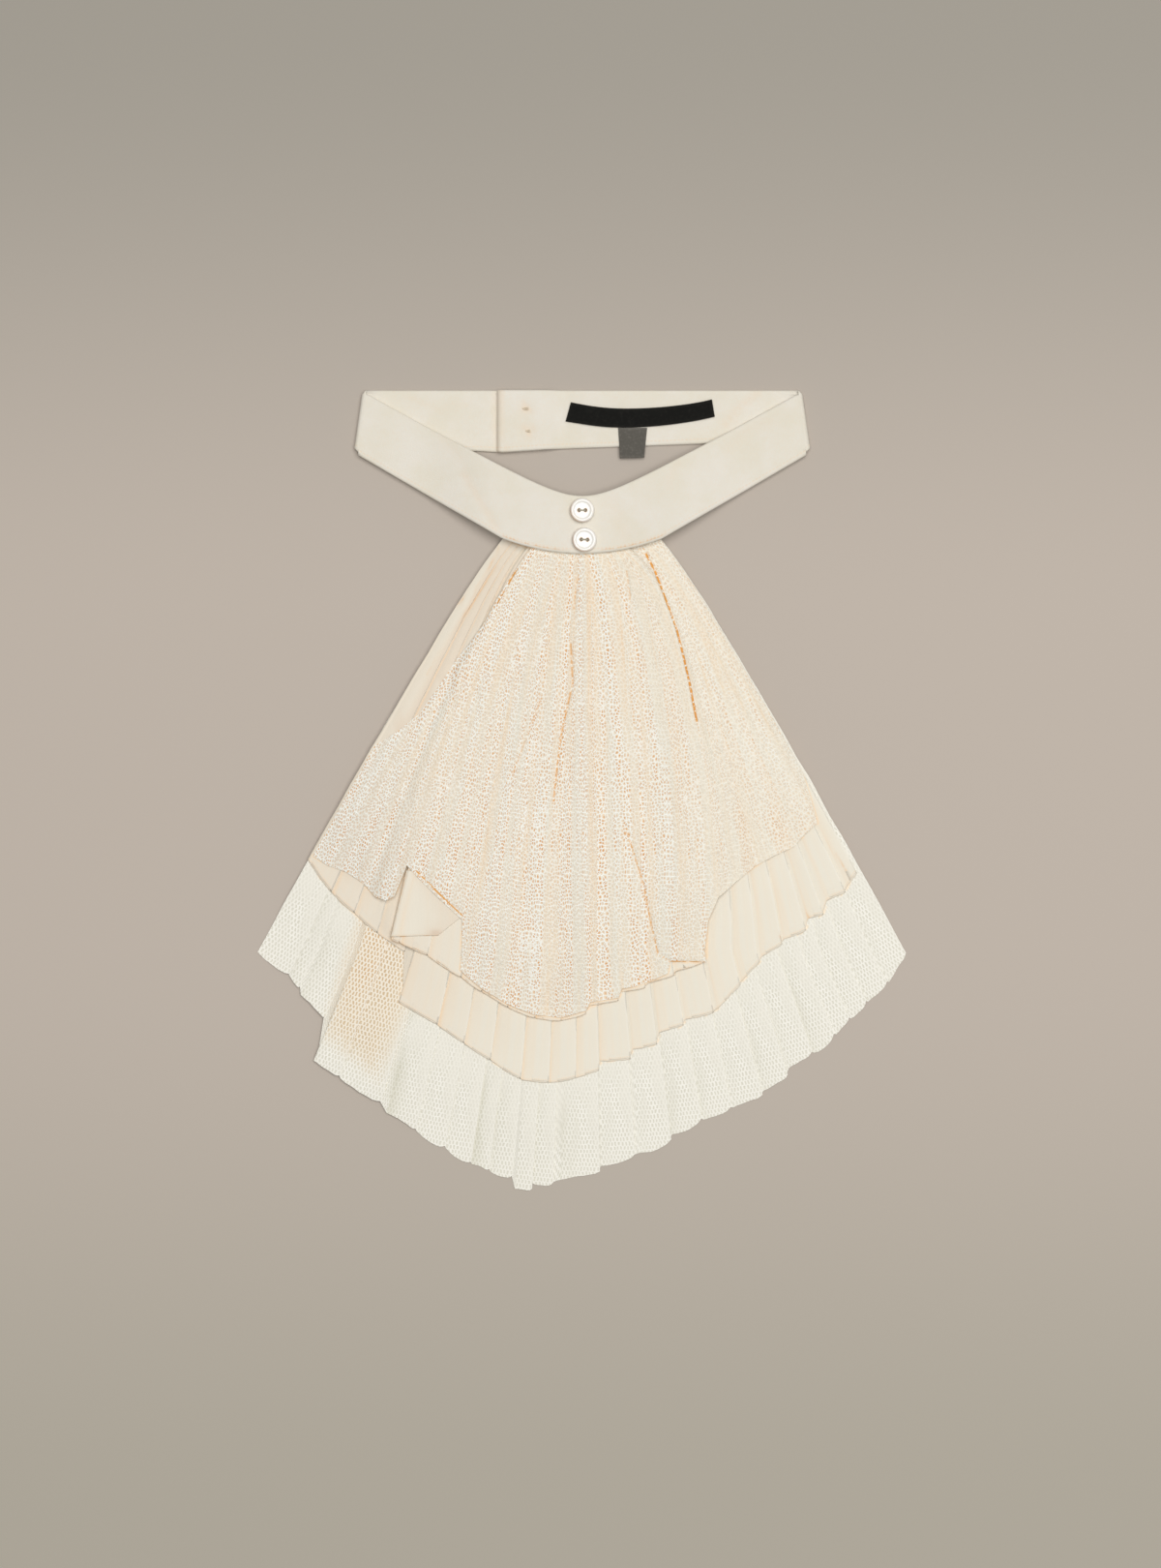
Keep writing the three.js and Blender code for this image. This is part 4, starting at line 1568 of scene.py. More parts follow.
    def web(self) -> Web:
        """The ribbon's points, with what its finish reads.

        Returns:
            The grid of points.
        """
        ribbon = self.ribbon()
        x, y, angle, plies = ribbon.x, ribbon.y, ribbon.angle, ribbon.plies
        free = np.sin(np.pi * np.clip(ribbon.from_hem / (FAN.seam_y(angle) - ribbon.hem_y), 0, 1))
        aside = plies["nudge"] * self.relief * FAN.rise(y)
        aside = aside + self.waviness * free * ripple(x, y, 7, 45, self.seed)
        flat = (x + aside * np.cos(angle), y + aside * np.sin(angle))
        points = np.stack([*flat, self.levels(ribbon)], axis=-1)
        across = plies["run"] * ribbon.width
        fold_y = hem_points(self.pleats, 1)[:, 1][ribbon.pleat]
        along = (y - fold_y) / np.cos(angle) - across * np.tan(angle)
        cloth = np.stack([across, along], axis=-1)
        left, right = cloth[:-1], cloth[1:].copy()
        step = np.linalg.norm(np.diff(points, axis=0), axis=-1)
        right[..., 0] = np.where(np.diff(ribbon.pleat, axis=0) != 0, left[..., 0] + step, right[..., 0])
        return Web(points, left, right, self.marks(ribbon))


@dataclass(frozen=True)
class Furrow:
    """A deep narrow fold along a broken line, with shade painted along it."""

    line: tuple[Point, ...]
    width: float
    depth: float
    # How strong the shade painted along the fold is.
    colour: float

    def near(self, x: Array, y: Array) -> Array:
        """How near places are to the fold, from 0 to 1 on it."""
        return np.exp(-((distance_to_line(x, y, self.line) / self.width) ** 2))


@dataclass(kw_only=True)
class LaceOverlay(ClothPiece):
    """The lace over the tiers: one thin sheet in soft folds, with a few deep ones."""

    seed: int = 41
    drop: float = 0.8
    column_step: float = 0.62
    body_rows: int = 130
    hem_steps: tuple[float, ...] = (0.0, 0.4, 0.9, 1.6)
    least_turn: float = 0.0026
    crumple: float = 0.22
    level_reach: float = 0.03
    seam_lift: float = 0.8
    side_drop: float = 0.5
    hang: float = 1.8
    relief: float = 0.5
    furrows: tuple[Furrow, ...] = rows_of(Furrow, (
        (((26.1, 98.3), (30.1, 90.7), (32.9, 83.1), (36.1, 74.7), (38.9, 67.1), (41.7, 55.9), (44.5, 43.5),
          (47.3, 28.7)), 0.55, 0.8, 1.0),
        (((-4.7, 60.7), (-3.9, 44.7), (-8.7, 22.7), (-10.7, 6.7), (-11.9, -5.3)), 0.7, 0.6, 0.55),
        (((-16.7, 38.7), (-28.7, 6.7)), 0.8, 0.4, 0.35),
        (((17.3, -13.3), (24.9, -37.3), (28.1, -53.3), (31.3, -67.3), (36.1, -70.5), (50.5, -70.9)),
         0.7, 0.6, 0.6),
        (((-26.7, 91.9), (-35.1, 77.1)), 0.4, 0.3, 0.8),
        (((-1.7, 88.7), (-3.7, 74.7)), 0.7, 0.4, 0.4),
        (((18.3, 90.7), (19.9, 78.7)), 0.6, 0.4, 0.4),
        (((-68.4, -33.0), (-60.0, -41.5), (-49.4, -51.3)), 0.6, 0.2, 0.8),
        (((42.9, 88.4), (53.7, 74.3)), 0.5, 0.1, 0.3),
    ))

    def columns(self) -> tuple[dict[str, Array], Array]:
        """The columns of the sheet.

        Returns:
            What each column has, as columns, and the angle of the ridge nearest to each gap between them.
        """
        x, hem_y, top_y, height, level = np.array([astuple(fold) for fold in LACE_FOLDS], float).T
        angle = FAN.angle_at(x, hem_y)
        close = np.diff(angle, prepend=-FAR) < self.least_turn
        angle = np.maximum.accumulate(angle + self.least_turn * close)
        top_y = np.where(np.isnan(top_y), FAN.seam_y(angle), top_y)
        gaps = np.hypot(np.diff(x), np.diff(hem_y)) / self.column_step
        counts = [max(3, round(float(gap))) for gap in gaps]
        steps = [number + np.arange(count) / count for number, count in enumerate(counts)]
        place = np.concatenate([*steps, [len(counts)]])
        number = np.arange(len(x))
        given = {"angle": angle, "hem_y": hem_y, "top_y": top_y, "level": level}
        column = {name: np.interp(place, number, values) for name, values in given.items()}
        column["height"] = np.interp(np.floor(place) + smooth(place % 1, 0, 1), number, height)
        apart = np.abs(column["angle"][:, None] - column["angle"])
        highest = np.where(apart < self.level_reach, column["level"], 0).max(axis=1)
        share = np.clip(1 - (apart / self.level_reach) ** 2, 0, 1) ** 2
        column["level"] = share @ highest / share.sum(axis=1)
        around = np.pad(height, 1, mode="edge")
        ridges = np.flatnonzero((height >= around[:-2]) & (height >= around[2:]))
        middle = (place[:-1] + place[1:]) / 2
        nearest = np.abs(middle[:, None] - ridges).argmin(axis=1)
        return {name: values[:, None] for name, values in column.items()}, angle[ridges[nearest]][:, None]

    def levels(self, column: dict[str, Array], x: Array, y: Array) -> Array:
        """How high the lace lies.

        Args:
            column: what each column has.
            x: places across.
            y: places down.

        Returns:
            Millimetres above the floor.
        """
        z = FAN.top(column["level"], self.relief * column["height"], x, y) - self.drop
        z += self.crumple * ripple(x, y, 3.5, 12, self.seed)
        z += self.seam_lift * smooth(y, 60, 98)
        z -= self.side_drop * smooth((column["top_y"] - y) * 0.55, 6, 0) * smooth(x, -20, -30)
        above_upper = np.clip(column["level"] - 2, 0, 1)
        for pleats, share in ((UPPER_PLEATS, above_upper), (LOWER_PLEATS, 1 - above_upper)):
            z -= self.hang * share * (1 - smooth(y - hem_at(pleats, x, y), 4, 30))
        for furrow in self.furrows:
            z -= furrow.depth * furrow.near(x, y)
        return z

    def web(self) -> Web:
        """The sheet's points, with what its finish reads.

        Returns:
            The grid of points.
        """
        column, ridge = self.columns()
        angle = column["angle"]
        rise = hem_rows(column["hem_y"], column["top_y"], self.hem_steps, self.body_rows)
        y = column["hem_y"] + rise
        x = FAN.x_at(angle, y)
        keys, strip = np.unique(np.round(ridge[:, 0] * 400), return_inverse=True)
        looks = np.random.default_rng(self.seed).uniform(0, 1, (len(keys), 2))[strip]
        dense = np.append(looks[:, 0], looks[-1, 0])[:, None]
        below = [pleat_below(tier, x, y) for tier in (UPPER_PLEATS, LOWER_PLEATS)]
        beside = np.minimum(rise, (angle[-1] - angle) * (FAN.pole_y - y))
        at_side = smooth(x, 40, 55) * smooth(beside, 16, 1)
        marks = {
            # Painted shade along the deep folds: how near each point is to them, and how far from their
            # lines.
            "valley": np.max([furrow.colour * furrow.near(x, y) for furrow in self.furrows], axis=0),
            "slit": np.min([distance_to_line(x, y, furrow.line) for furrow in self.furrows], axis=0),
            "ridge": column["height"],
            "from_start": np.where(column["level"] > 2.5, *below),
            "left": smooth(x + 0.3 * y, -45, -100),
            "faint": np.maximum(0.8 * smooth(x + 0.25 * y, 20, 62), at_side),
            "dense": np.clip(0.75 * dense + 0.5 * ripple(x, y, 14, 45, 2.2), 0, 1),
        }
        squeeze = 1 + 0.7 * looks[:, 1:]
        cloth = []
        for own in (slice(None, -1), slice(1, None)):
            from_ridge = x[own] - FAN.x_at(ridge, y[own])
            over = from_ridge * np.cos(ridge) * squeeze + 40 * ridge
            up = (y[own] + 100) / np.cos(ridge) - from_ridge * np.sin(ridge)
            cloth.append(np.stack([over, up], axis=-1))
        return Web(np.stack([x, y, self.levels(column, x, y)], axis=-1), *cloth, marks)


@dataclass
class TurnedFlap:
    """The corner of the upper tier that is turned back over it, with its own hem."""

    name: str
    tier: PleatedTier
    top_y: float = -32.8
    foot_y: float = -60.4
    right: tuple[Point, ...] = ((-69.4, -33.2), (-50.0, -52.2), (-59.6, -59.8))
    columns: int = 44
    rows: int = 54
    above: float = 0.3
    beyond: float = 0.002
    side_hem_width: float = 3.6
    corner: Point = (-60.5, -58.6)

    def web(self) -> Web:
        """The flap's points, row by row between its two sides.

        Returns:
            The grid of points.
        """
        side = np.linspace(self.top_y, self.foot_y, 8)
        angle = FAN.angle_at(*hem_points(self.tier.pleats[:1], 0).T) - self.beyond
        flat = ruled(list(zip(FAN.x_at(angle, side), side)), self.right, self.columns, self.rows)
        x, y = flat[..., 0], flat[..., 1]
        share = np.linspace(0, 1, self.columns)[:, None]
        from_side = np.linalg.norm(flat - flat[:1], axis=-1)
        from_foot = np.linalg.norm(flat - flat[:, :1], axis=-1)
        height = np.full(x.shape, self.tier.relief)
        z = self.tier.surface(height, y - hem_at(self.tier.pleats, x, y), x, y) + self.above
        z += 0.2 * smooth(from_side, 4.2, 3.2) - 0.5 * smooth(from_side, 1.2, 0.0)
        z += 0.08 * ripple(x, y, 6, 14, 2.0)
        z -= 0.2 * smooth(from_foot, 1.5, 0.0) * smooth(x, -58, -62)
        # Painted shade in the small hollow below the flap's corner.
        corner = np.exp(-(((x - self.corner[0]) / 2.6) ** 2 + ((y - self.corner[1]) / 1.4) ** 2))
        marks = {
            "from_start": np.abs(from_side - self.side_hem_width) + 0.2,
            "from_fold": FAR,
            "from_hem": np.minimum(from_foot, from_side + 0.1),
            "shade": 0.35,
            "warmth": 0.15 + 0.5 * smooth(share, 0.3, 1.0) + 1.2 * corner,
            "doubled": 1.0,
            "edge": 0.9,
            "accent": FAR,
            "covered": FAR,
        }
        return Web(np.stack([x, y, z], axis=-1), flat[:-1], flat[1:], marks)

    def build(self) -> Thing:
        """Makes the flap, which its tier dresses.

        Returns:
            The piece.
        """
        piece = self.web().piece(self.name)
        thicken(piece, self.tier.sheet_wall)
        return piece


@dataclass(kw_only=True)
class FlappedTier(PleatedTier):
    """A tier with a corner that is turned back over it."""

    flap_name: str

    def extras(self) -> list[Thing]:
        """Makes the turned corner."""
        return [TurnedFlap(self.flap_name, self).build()]


@dataclass(kw_only=True)
class TuckedPleat(ClothPiece):
    """A loose pleat of georgette caught flat under the net."""

    columns: int = 40
    rows: int = 60
    height: float = 0.75

    def web(self) -> Web:
        """The piece's points: two long sides joined by rows.

        Returns:
            The grid of points.
        """
        left, right = (TUCKED_OUTLINE[0], TUCKED_OUTLINE[5]), TUCKED_OUTLINE[1:5]
        flat = ruled(left, right, self.columns, self.rows)
        share = np.linspace(0, 1, self.columns)[:, None]
        x, y = flat[..., 0], flat[..., 1]
        z = self.height + 0.16 * ripple(x, y, 7, 22, 7.0) + 0.12 * np.cos(share * 9)
        width = np.linalg.norm(flat[-1] - flat[0], axis=-1)
        across = share * width
        along = np.linalg.norm(flat - flat[:, :1], axis=-1)
        cloth = np.stack([across, along], axis=-1)
        marks = {
            "from_start": across,
            "from_fold": width - across,
            "from_hem": along + 4,
            "shade": 0.4,
            # Painted shade over the whole tucked pleat, which lies under the net.
            "warmth": 4.0,
            "doubled": 1.0,
            "edge": 0.0,
            "accent": FAR,
            "covered": FAR,
        }
        return Web(np.stack([x, y, z], axis=-1), cloth[:-1], cloth[1:], marks)


@dataclass(frozen=True)
class Station:
    """One cut across the band: its edge at the neck, its outer edge and its outward side."""

    inner: Place
    outer: Place
    normal: Place


@dataclass(kw_only=True)
class NeckBand(ClothPiece):
    """The band: one doubled strip of crepe, folded flat at both sides and lapped at the back."""

    closed: ClassVar[bool] = True
    wall: float = 1.6
    gap: float = 0.3
    top_y: float = 165.7
    fold_top_x: float = 91.1
    fold_foot_x: float = 94.4
    fold_foot_y: float = 139.9
    fold_corner: float = 1.3
    fold_steps: int = 10
    front_steps: int = 110
    front_slope: float = 0.584
    neck_low_y: float = 121.5
    neck_rounding: float = 8.0
    neck_slope: float = 0.56
    centre_lift: float = 7.2
    flat_half: float = 36.0
    ramp: float = 34.0
    lap_x: float = -35.0
    underlap_x: float = -17.0
    ramp_end_x: float = -8.0
    back_step: float = 2.0
    edge_reach: float = 0.9
    lowest: float = 0.02
    back_foot_x: tuple[float, ...] = (-94.4, -43, -33, -12, 15, 54, 94.4)
    back_foot_y: tuple[float, ...] = (139.9, 140.5, 139.9, 141.3, 142.3, 143.7, 139.9)
    across_shares: tuple[float, ...] = (
        0.0, 0.006, 0.02, 0.045, 0.08, 0.14, 0.22, 0.32, 0.42, 0.52,
        0.62, 0.72, 0.8, 0.87, 0.92, 0.955, 0.98, 0.994, 1.0,
    )
    # Creases with relief and painted shade along them.
    creases: tuple[Furrow, ...] = rows_of(Furrow, (
        (((-48.7, 130.7), (-42.0, 119.0), (-35.5, 108.7)), 1.6, 0.3, 0.25),
        (((39.3, 134.7), (35.3, 126.7)), 1.8, 0.25, 0.15),
        (((-58.0, 146.0), (-50.0, 137.0)), 2.5, 0.2, 0.1),
        (((60.0, 141.0), (70.0, 150.0), (78.0, 153.0)), 2.5, 0.2, 0.1),
        (((12.0, 119.5), (18.0, 104.0)), 3.0, 0.2, 0.1),
    ))
    # Lines of painted shade only, with no relief: along the lap and the back's folds.
    lap_shade_lines: tuple[Furrow, ...] = rows_of(Furrow, (
        (((-35.3, 166.0), (-35.6, 150.0), (-35.0, 139.0)), 0.9, 0.0, 0.45),
        (((-33.2, 166.0), (-33.6, 150.0), (-31.5, 140.5)), 0.6, 0.0, 0.3),
        (((72.7, 164.7), (66.0, 159.5), (58.8, 151.3)), 1.6, 0.0, 0.3),
        (((-80.7, 154.3), (-74.7, 144.0)), 1.8, 0.0, 0.25),
        (((-72.0, 163.0), (-60.0, 158.0), (-48.0, 160.0)), 1.2, 0.0, 0.12),
    ))

    def front(self, way: float) -> Station:
        """One cut of the front.

        Args:
            way: the share of its way from the left fold to the right one.

        Returns:
            The cut.
        """
        inner_x = self.fold_top_x * (2 * way - 1)
        outer_x = self.fold_foot_x * (2 * way - 1)
        neck = math.hypot(self.neck_rounding, self.neck_slope * inner_x)
        inner_y = self.neck_low_y + neck - self.neck_rounding
        beyond = max(abs(outer_x) - FAN.seam_half, 0)
        outer_y = FAN.seam_curve(min(abs(outer_x) / FAN.seam_half, 1)) + self.front_slope * beyond
        climb = float(smooth(np.array(self.flat_half + self.ramp - abs(outer_x)), 0, self.ramp))
        low = self.wall + self.gap
        z = low + (self.centre_lift - low) * climb + self.wall / 2
        return Station((inner_x, inner_y, z), (outer_x, outer_y, z), (0, 0, 1))

    def back(self, x: float, base: float) -> Station:
        """The back at x, with the inside of the neck up.

        Args:
            x: where the cut is.
            base: how high its underside is.

        Returns:
            The cut.
        """
        z = base + self.wall / 2
        foot = float(np.interp(x, self.back_foot_x, self.back_foot_y))
        return Station((x, self.top_y, z), (x, foot, z), (0, 0, -1))

    def turn(self, side: int) -> list[Station]:
        """The half turn at a side, from the back to the front over it.

        Args:
            side: 1 at the right and -1 at the left.

        Returns:
            Its cuts.
        """
        radius = (self.wall + self.gap) / 2
        reach = radius + self.wall / 2
        stations = []
        for step in range(self.fold_steps + 1):
            angle = math.pi * step / self.fold_steps
            out = math.sin(angle)
            offset = side * (radius * out - reach)
            z = reach - radius * math.cos(angle)
            corner = self.fold_corner * out
            inner = (side * self.fold_top_x + offset, self.top_y - corner, z)
            outer = (side * self.fold_foot_x + offset, self.fold_foot_y + corner, z)
            stations.append(Station(inner, outer, (side * out, 0, -math.cos(angle))))
        return stations

    def stretch(self, start: float, stop: float, base: float = 0) -> list[Station]:
        """Cuts along the back, a step apart."""
        places = np.linspace(start, stop, 2 + int(abs(stop - start) / self.back_step))
        return [self.back(x, base) for x in places]

    def stations(self) -> list[Station]:
        """Every cut, from the underlap round the neck to the lap.

        Returns:
            The cuts.
        """
        edge = self.fold_top_x - self.gap - self.wall - 6
        lap_base = self.wall + self.gap
        lap_start = self.underlap_x + 0.5
        ramp = []
        for way in (0.2, 0.4, 0.6, 0.8):
            x = self.ramp_end_x + (lap_start - self.ramp_end_x) * way
            ramp.append(self.back(x, lap_base * float(smooth(np.array(way), 0, 1))))
        front = [self.front(step / self.front_steps) for step in range(1, self.front_steps)]
        left, right = self.stretch(self.underlap_x, -edge), self.stretch(edge, self.ramp_end_x)
        lap = self.stretch(lap_start, self.lap_x, lap_base)
        return [*left, *self.turn(-1), *front, *self.turn(1)[::-1], *right, *ramp, *lap]

    def wrinkles(
        self, x: Array, y: Array, is_front: Array, on_lap: Array
    ) -> tuple[Array, Array]:
        """The small unevenness of the band.

        Args:
            x: places across.
            y: places down.
            is_front: 1 on the front and 0 on the back.
            on_lap: 1 on the lap that lies on top.

        Returns:
            The relief in millimetres and how strong the shade painted in the creases is.
        """
        relief = 0.10 * ripple(x, y, 9, 7, 3.3) + 0.06 * ripple(x, y, 3, 3, 8.1)
        crease = np.zeros(x.shape)
        for furrows, shown in ((self.creases, is_front), (self.lap_shade_lines, 1 - is_front)):
            for furrow in furrows:
                near = furrow.near(x, y) * shown
                relief -= furrow.depth * near
                crease = np.maximum(crease, furrow.colour * near)
        for tack_x, tack_y in TACKS.values():
            dx, dy = x - tack_x, y - tack_y
            star = 1 + 0.6 * np.cos(3 * np.arctan2(dy, dx) + tack_y)
            near = np.exp(-((np.hypot(dx, dy) / 2.6) ** 2)) * star
            relief -= 0.5 * near * on_lap
            # Painted shade in the tack's puckers.
            crease = np.maximum(crease, np.clip(near, 0, 1) * 0.5 * on_lap)
        return relief, crease

    def web(self) -> Web:
        """The band's points, round each cut in turn.

        Returns:
            The grid of points.
        """
        cuts = np.array([astuple(station) for station in self.stations()], float)
        inner, outer, normal = np.moveaxis(cuts, 1, 0)
        share = np.array(self.across_shares)[:, None]
        width = np.linalg.norm(outer - inner, axis=1)
        round_edge = rounded(np.minimum(share, 1 - share) * width, self.edge_reach)
        middle = inner + (outer - inner) * share[..., None]
        x, y, level = np.moveaxis(middle, -1, 0)
        is_front = smooth(normal[:, 2], -0.2, 0.6)
        on_lap = (level > self.wall + self.gap) * (normal[:, 2] < -0.9) * (x < self.ramp_end_x)
        relief, crease = self.wrinkles(x, y, is_front, on_lap)
        foot = (1 - share) * width
        roll = np.exp(-(((foot - self.edge_reach) / 0.7) ** 2))
        lift = self.wall / 2 * np.maximum(round_edge, 0.08) + 0.12 * roll
        shell = []
        for side in (1, -1):
            points = middle + side * lift[..., None] * normal
            points[..., 2] += relief * np.abs(normal[:, 2]) * round_edge
            points[..., 2] = np.maximum(points[..., 2], self.lowest)
            shell.append(points)
        run = arc_lengths((inner + outer) / 2)
        across = section(share * width)
        cloth = np.stack([run + 0 * across, across], axis=-1)
        over = smooth(np.abs(x), 36, 31) * smooth(np.abs(x), 3, 14) * is_front
        marks = {"over_pleats": section(over), "from_foot": section(foot), "crease": section(crease)}
        return Web(section(*shell), cloth[:-1], cloth[1:], marks)


@dataclass(kw_only=True)
class WovenTape(ClothPiece):
    """A flat woven tape, left bare: stations of top and foot points from left to right."""

    kind: ClassVar[str] = "tape"
    closed: ClassVar[bool] = True
    stations: tuple[tuple[float, float, float, float], ...]
    base: float
    thickness: float = 0.5
    columns: int = 90
    rows: int = 16
    wave: float = 0.15
    edge_reach: float = 0.35

    def web(self) -> Web:
        """The tape's points, round each cut in turn.

        Returns:
            The grid of points.
        """
        table = np.array(self.stations)
        place = np.linspace(0, len(table) - 1, self.columns)
        sides = np.stack([self.soft(place, values) for values in table.T], axis=-1)
        top, foot = sides[:, :2], sides[:, 2:]
        share = np.linspace(0, 1, self.rows)[:, None]
        flat = top * (1 - share[..., None]) + foot * share[..., None]
        width = np.linalg.norm(foot - top, axis=-1)
        ends = np.minimum(place, place[::-1]) / (len(table) - 1) * 60
        inside = np.minimum(np.minimum(share, 1 - share) * width, ends)
        half = self.thickness / 2 * np.maximum(rounded(inside, self.edge_reach), 0.1)
        x, y = flat[..., 0], flat[..., 1]
        middle = self.base + self.thickness / 2 + self.wave * (1 + ripple(x, y, 9, 9, 5.0))
        loop = section(np.dstack([x, y, middle + half]), np.dstack([x, y, middle - half]))
        across = section(share * width)
        cloth = np.stack([arc_lengths(top) + 0 * across, across], axis=-1)
        return Web(loop, cloth[:-1], cloth[1:], {"edge": section(np.exp(-inside / 0.4))})

    @staticmethod
    def soft(place: Array, values: Array) -> Array:
        """A smooth curve through a few values.

        Args:
            place: where it is wanted, counted in values.
            values: the values.

        Returns:
            The curve at each place.
        """
        index = np.arange(len(values))
        if len(values) < 4:
            return np.interp(place, index, values)
        return np.polyval(np.polyfit(index, values, len(values) - 1), place)


def strand(name: str, path: Sequence[Sequence[float]], radius: float, thread: Thread) -> None:
    """A round thread along a path, dressed.

    Args:
        name: what the piece is called.
        path: the points of its middle, in millimetres.
        radius: half its thickness.
        thread: its finish.
    """
    middle = np.array(path, float)
    ahead = np.gradient(middle, axis=0)
    ahead /= np.linalg.norm(ahead, axis=1, keepdims=True)
    side = np.cross(ahead, (0.0, 0.0, 1.0))
    upright = np.linalg.norm(side, axis=1) < 0.1
    side[upright] = np.cross(ahead[upright], (0.0, 1.0, 0.0))
    side /= np.linalg.norm(side, axis=1, keepdims=True)
    up = np.cross(side, ahead)
    turns = np.linspace(0, 2 * math.pi, 9)
    points = np.stack([middle + radius * (math.cos(turn) * side + math.sin(turn) * up) for turn in turns])
    cloth = np.stack(np.broadcast_arrays(radius * turns[:, None], arc_lengths(middle)[None, :]), axis=-1)
    piece = Web(points, cloth[:-1], cloth[1:]).piece(name, closed=True)
    piece.data.materials.append(thread.material())


@dataclass
class Button:
    """A round two-hole shell button with its sewing thread."""

    node: str
    slot: str
    centre: Point
    finish: Pearl
    thread: Thread
    base: float = 9.1
    hole_offset: float = 1.35
    hole_radius: float = 0.72
    rim_softness: float = 0.14
    drill_length: float = 8.0
    turn: float = 0.0
    # Where the shade painted on the rim is strongest: the side away from the lamp.
    dark_side: float = math.radians(215.0)
    segments: int = 72
    profile: tuple[Point, ...] = (
        (0.0, 0.0), (3.6, 0.0), (4.3, 0.1), (4.75, 0.38), (4.97, 0.8), (5.0, 1.2),
        (4.93, 1.6), (4.7, 1.95), (4.4, 2.13), (4.1, 2.2), (3.85, 2.18), (3.65, 2.08),
        (3.5, 1.92), (3.3, 1.78), (3.0, 1.71), (2.4, 1.69), (1.2, 1.68), (0.0, 1.68),
    )
    strand_sizes: tuple[Point, ...] = ((-0.2, 0.26), (0.02, 0.36), (0.24, 0.22))
    strand_radius: float = 0.11

    def disc(self) -> bpy.types.Mesh:
        """The turned disc about the middle of the scene, with its two holes cut.

        Returns:
            The mesh.
        """
        lathe = bmesh.new()
        first = [lathe.verts.new((x * MM, 0, z * MM)) for x, z in self.profile]
        edges = [lathe.edges.new(pair) for pair in zip(first, first[1:])]
        bmesh.ops.spin(
            lathe, geom=first + edges, cent=(0, 0, 0), axis=(0, 0, 1), angle=2 * math.pi,
            steps=self.segments, use_merge=True,
        )
        bmesh.ops.remove_doubles(lathe, verts=lathe.verts, dist=1e-6)
        bmesh.ops.recalc_face_normals(lathe, faces=lathe.faces)
        disc = in_scene(f"{self.node}_blank", finished(self.node, lathe))
        drills = bmesh.new()
        for side in (-1, 1):
            made = bmesh.ops.create_cone(
                drills, cap_ends=True, segments=20, radius1=self.hole_radius * MM,
                radius2=self.hole_radius * MM, depth=self.drill_length * MM,
            )
            bmesh.ops.translate(drills, verts=made["verts"], vec=(side * self.hole_offset * MM, 0, 0))
        drill = in_scene("drills", finished("drills", drills))
        cut = disc.modifiers.new("holes", "BOOLEAN")
        cut.object = drill
        cut.operation = "DIFFERENCE"
        cut.solver = "EXACT"
        bpy.context.view_layer.update()
        ready = bpy.data.meshes.new_from_object(disc.evaluated_get(bpy.context.evaluated_depsgraph_get()))
        for spare in (disc, drill):
            bpy.data.objects.remove(spare)
        return ready

    def from_hole(self, place: Vector) -> float:
        """How far a point is from the middle of the nearer hole, in metres."""
        return min(math.hypot(place.x - side * self.hole_offset * MM, place.y) for side in (-1, 1))

    def soften(self, shape: bmesh.types.BMesh) -> None:
        """Rounds the rims of the holes.

        Args:
            shape: the button.
        """
        rims = []
        for edge in shape.edges:
            off_rim = abs(self.from_hole(edge.verts[0].co) - self.hole_radius * MM)
            if edge.calc_face_angle(0) > math.radians(60) and off_rim < 0.02 * MM:
                rims.append(edge)
        bmesh.ops.bevel(
            shape, geom=rims, offset=self.rim_softness * MM, segments=2, profile=0.5,
            affect="EDGES", material=-1,
        )

    def shell(self) -> Thing:
        """The button in its place, marked for its finish.

        Returns:
            The button.
        """
        mesh = self.disc()
        shape = bmesh.new()
        shape.from_mesh(mesh)
        self.soften(shape)
        bore = shape.verts.layers.float.new("bore")
        rim = shape.verts.layers.float.new("rim")
        cos, sin = math.cos(self.turn), math.sin(self.turn)
        centre = Vector((*self.centre, self.base)) * MM
        for vert in shape.verts:
            x, y = vert.co.x, vert.co.y
            # Painted shade round the rim, strongest towards the dark side and faint on the side towards the
            # lamp.
            outside = min(max((math.hypot(x, y) / MM - 4.35) / 0.5, 0), 1)
            facing = math.cos(math.atan2(y, x) + self.turn - self.dark_side)
            vert[rim] = outside * min(max(0.3 + 0.8 * facing, 0.08), 1)
            vert[bore] = float(self.from_hole(vert.co) < (self.hole_radius + 0.08) * MM)
            vert.co.x = x * cos - y * sin
            vert.co.y = x * sin + y * cos
            vert.co += centre
        bmesh.ops.recalc_face_normals(shape, faces=shape.faces)
        shape.to_mesh(mesh)
        shape.free()
        mesh.name = f"{self.node}_shell"
        return as_piece(f"{self.node}_shell", mesh)

    def stitches(self) -> None:
        """The strands between the holes, down through them to the band."""
        across = (math.cos(self.turn), math.sin(self.turn))
        beside = (-across[1], across[0])
        dish = self.base + self.profile[-1][1]
        for number, (shift, rise) in enumerate(self.strand_sizes):
            half = (
                (1.42, self.base - 0.9), (1.40, dish - 0.5), (1.30, dish + 0.02), (1.05, dish + rise * 0.75),
                (0.55, dish + rise),
            )
            line = [*((-place, z) for place, z in half), (0.0, dish + rise * 1.05), *half[::-1]]
            path = [
                (
                    self.centre[0] + across[0] * place + beside[0] * shift,
                    self.centre[1] + across[1] * place + beside[1] * shift,
                    z,
                )
                for place, z in line
            ]
            strand(f"{self.node}_strand_{number + 1}", path, self.strand_radius, self.thread)

    def build(self) -> Thing:
        """Makes the button and its thread.

        Returns:
            The piece.
        """
        piece = self.shell()
        piece.data.materials.append(self.finish.material())
        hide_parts(self.node)
        self.stitches()
        return piece


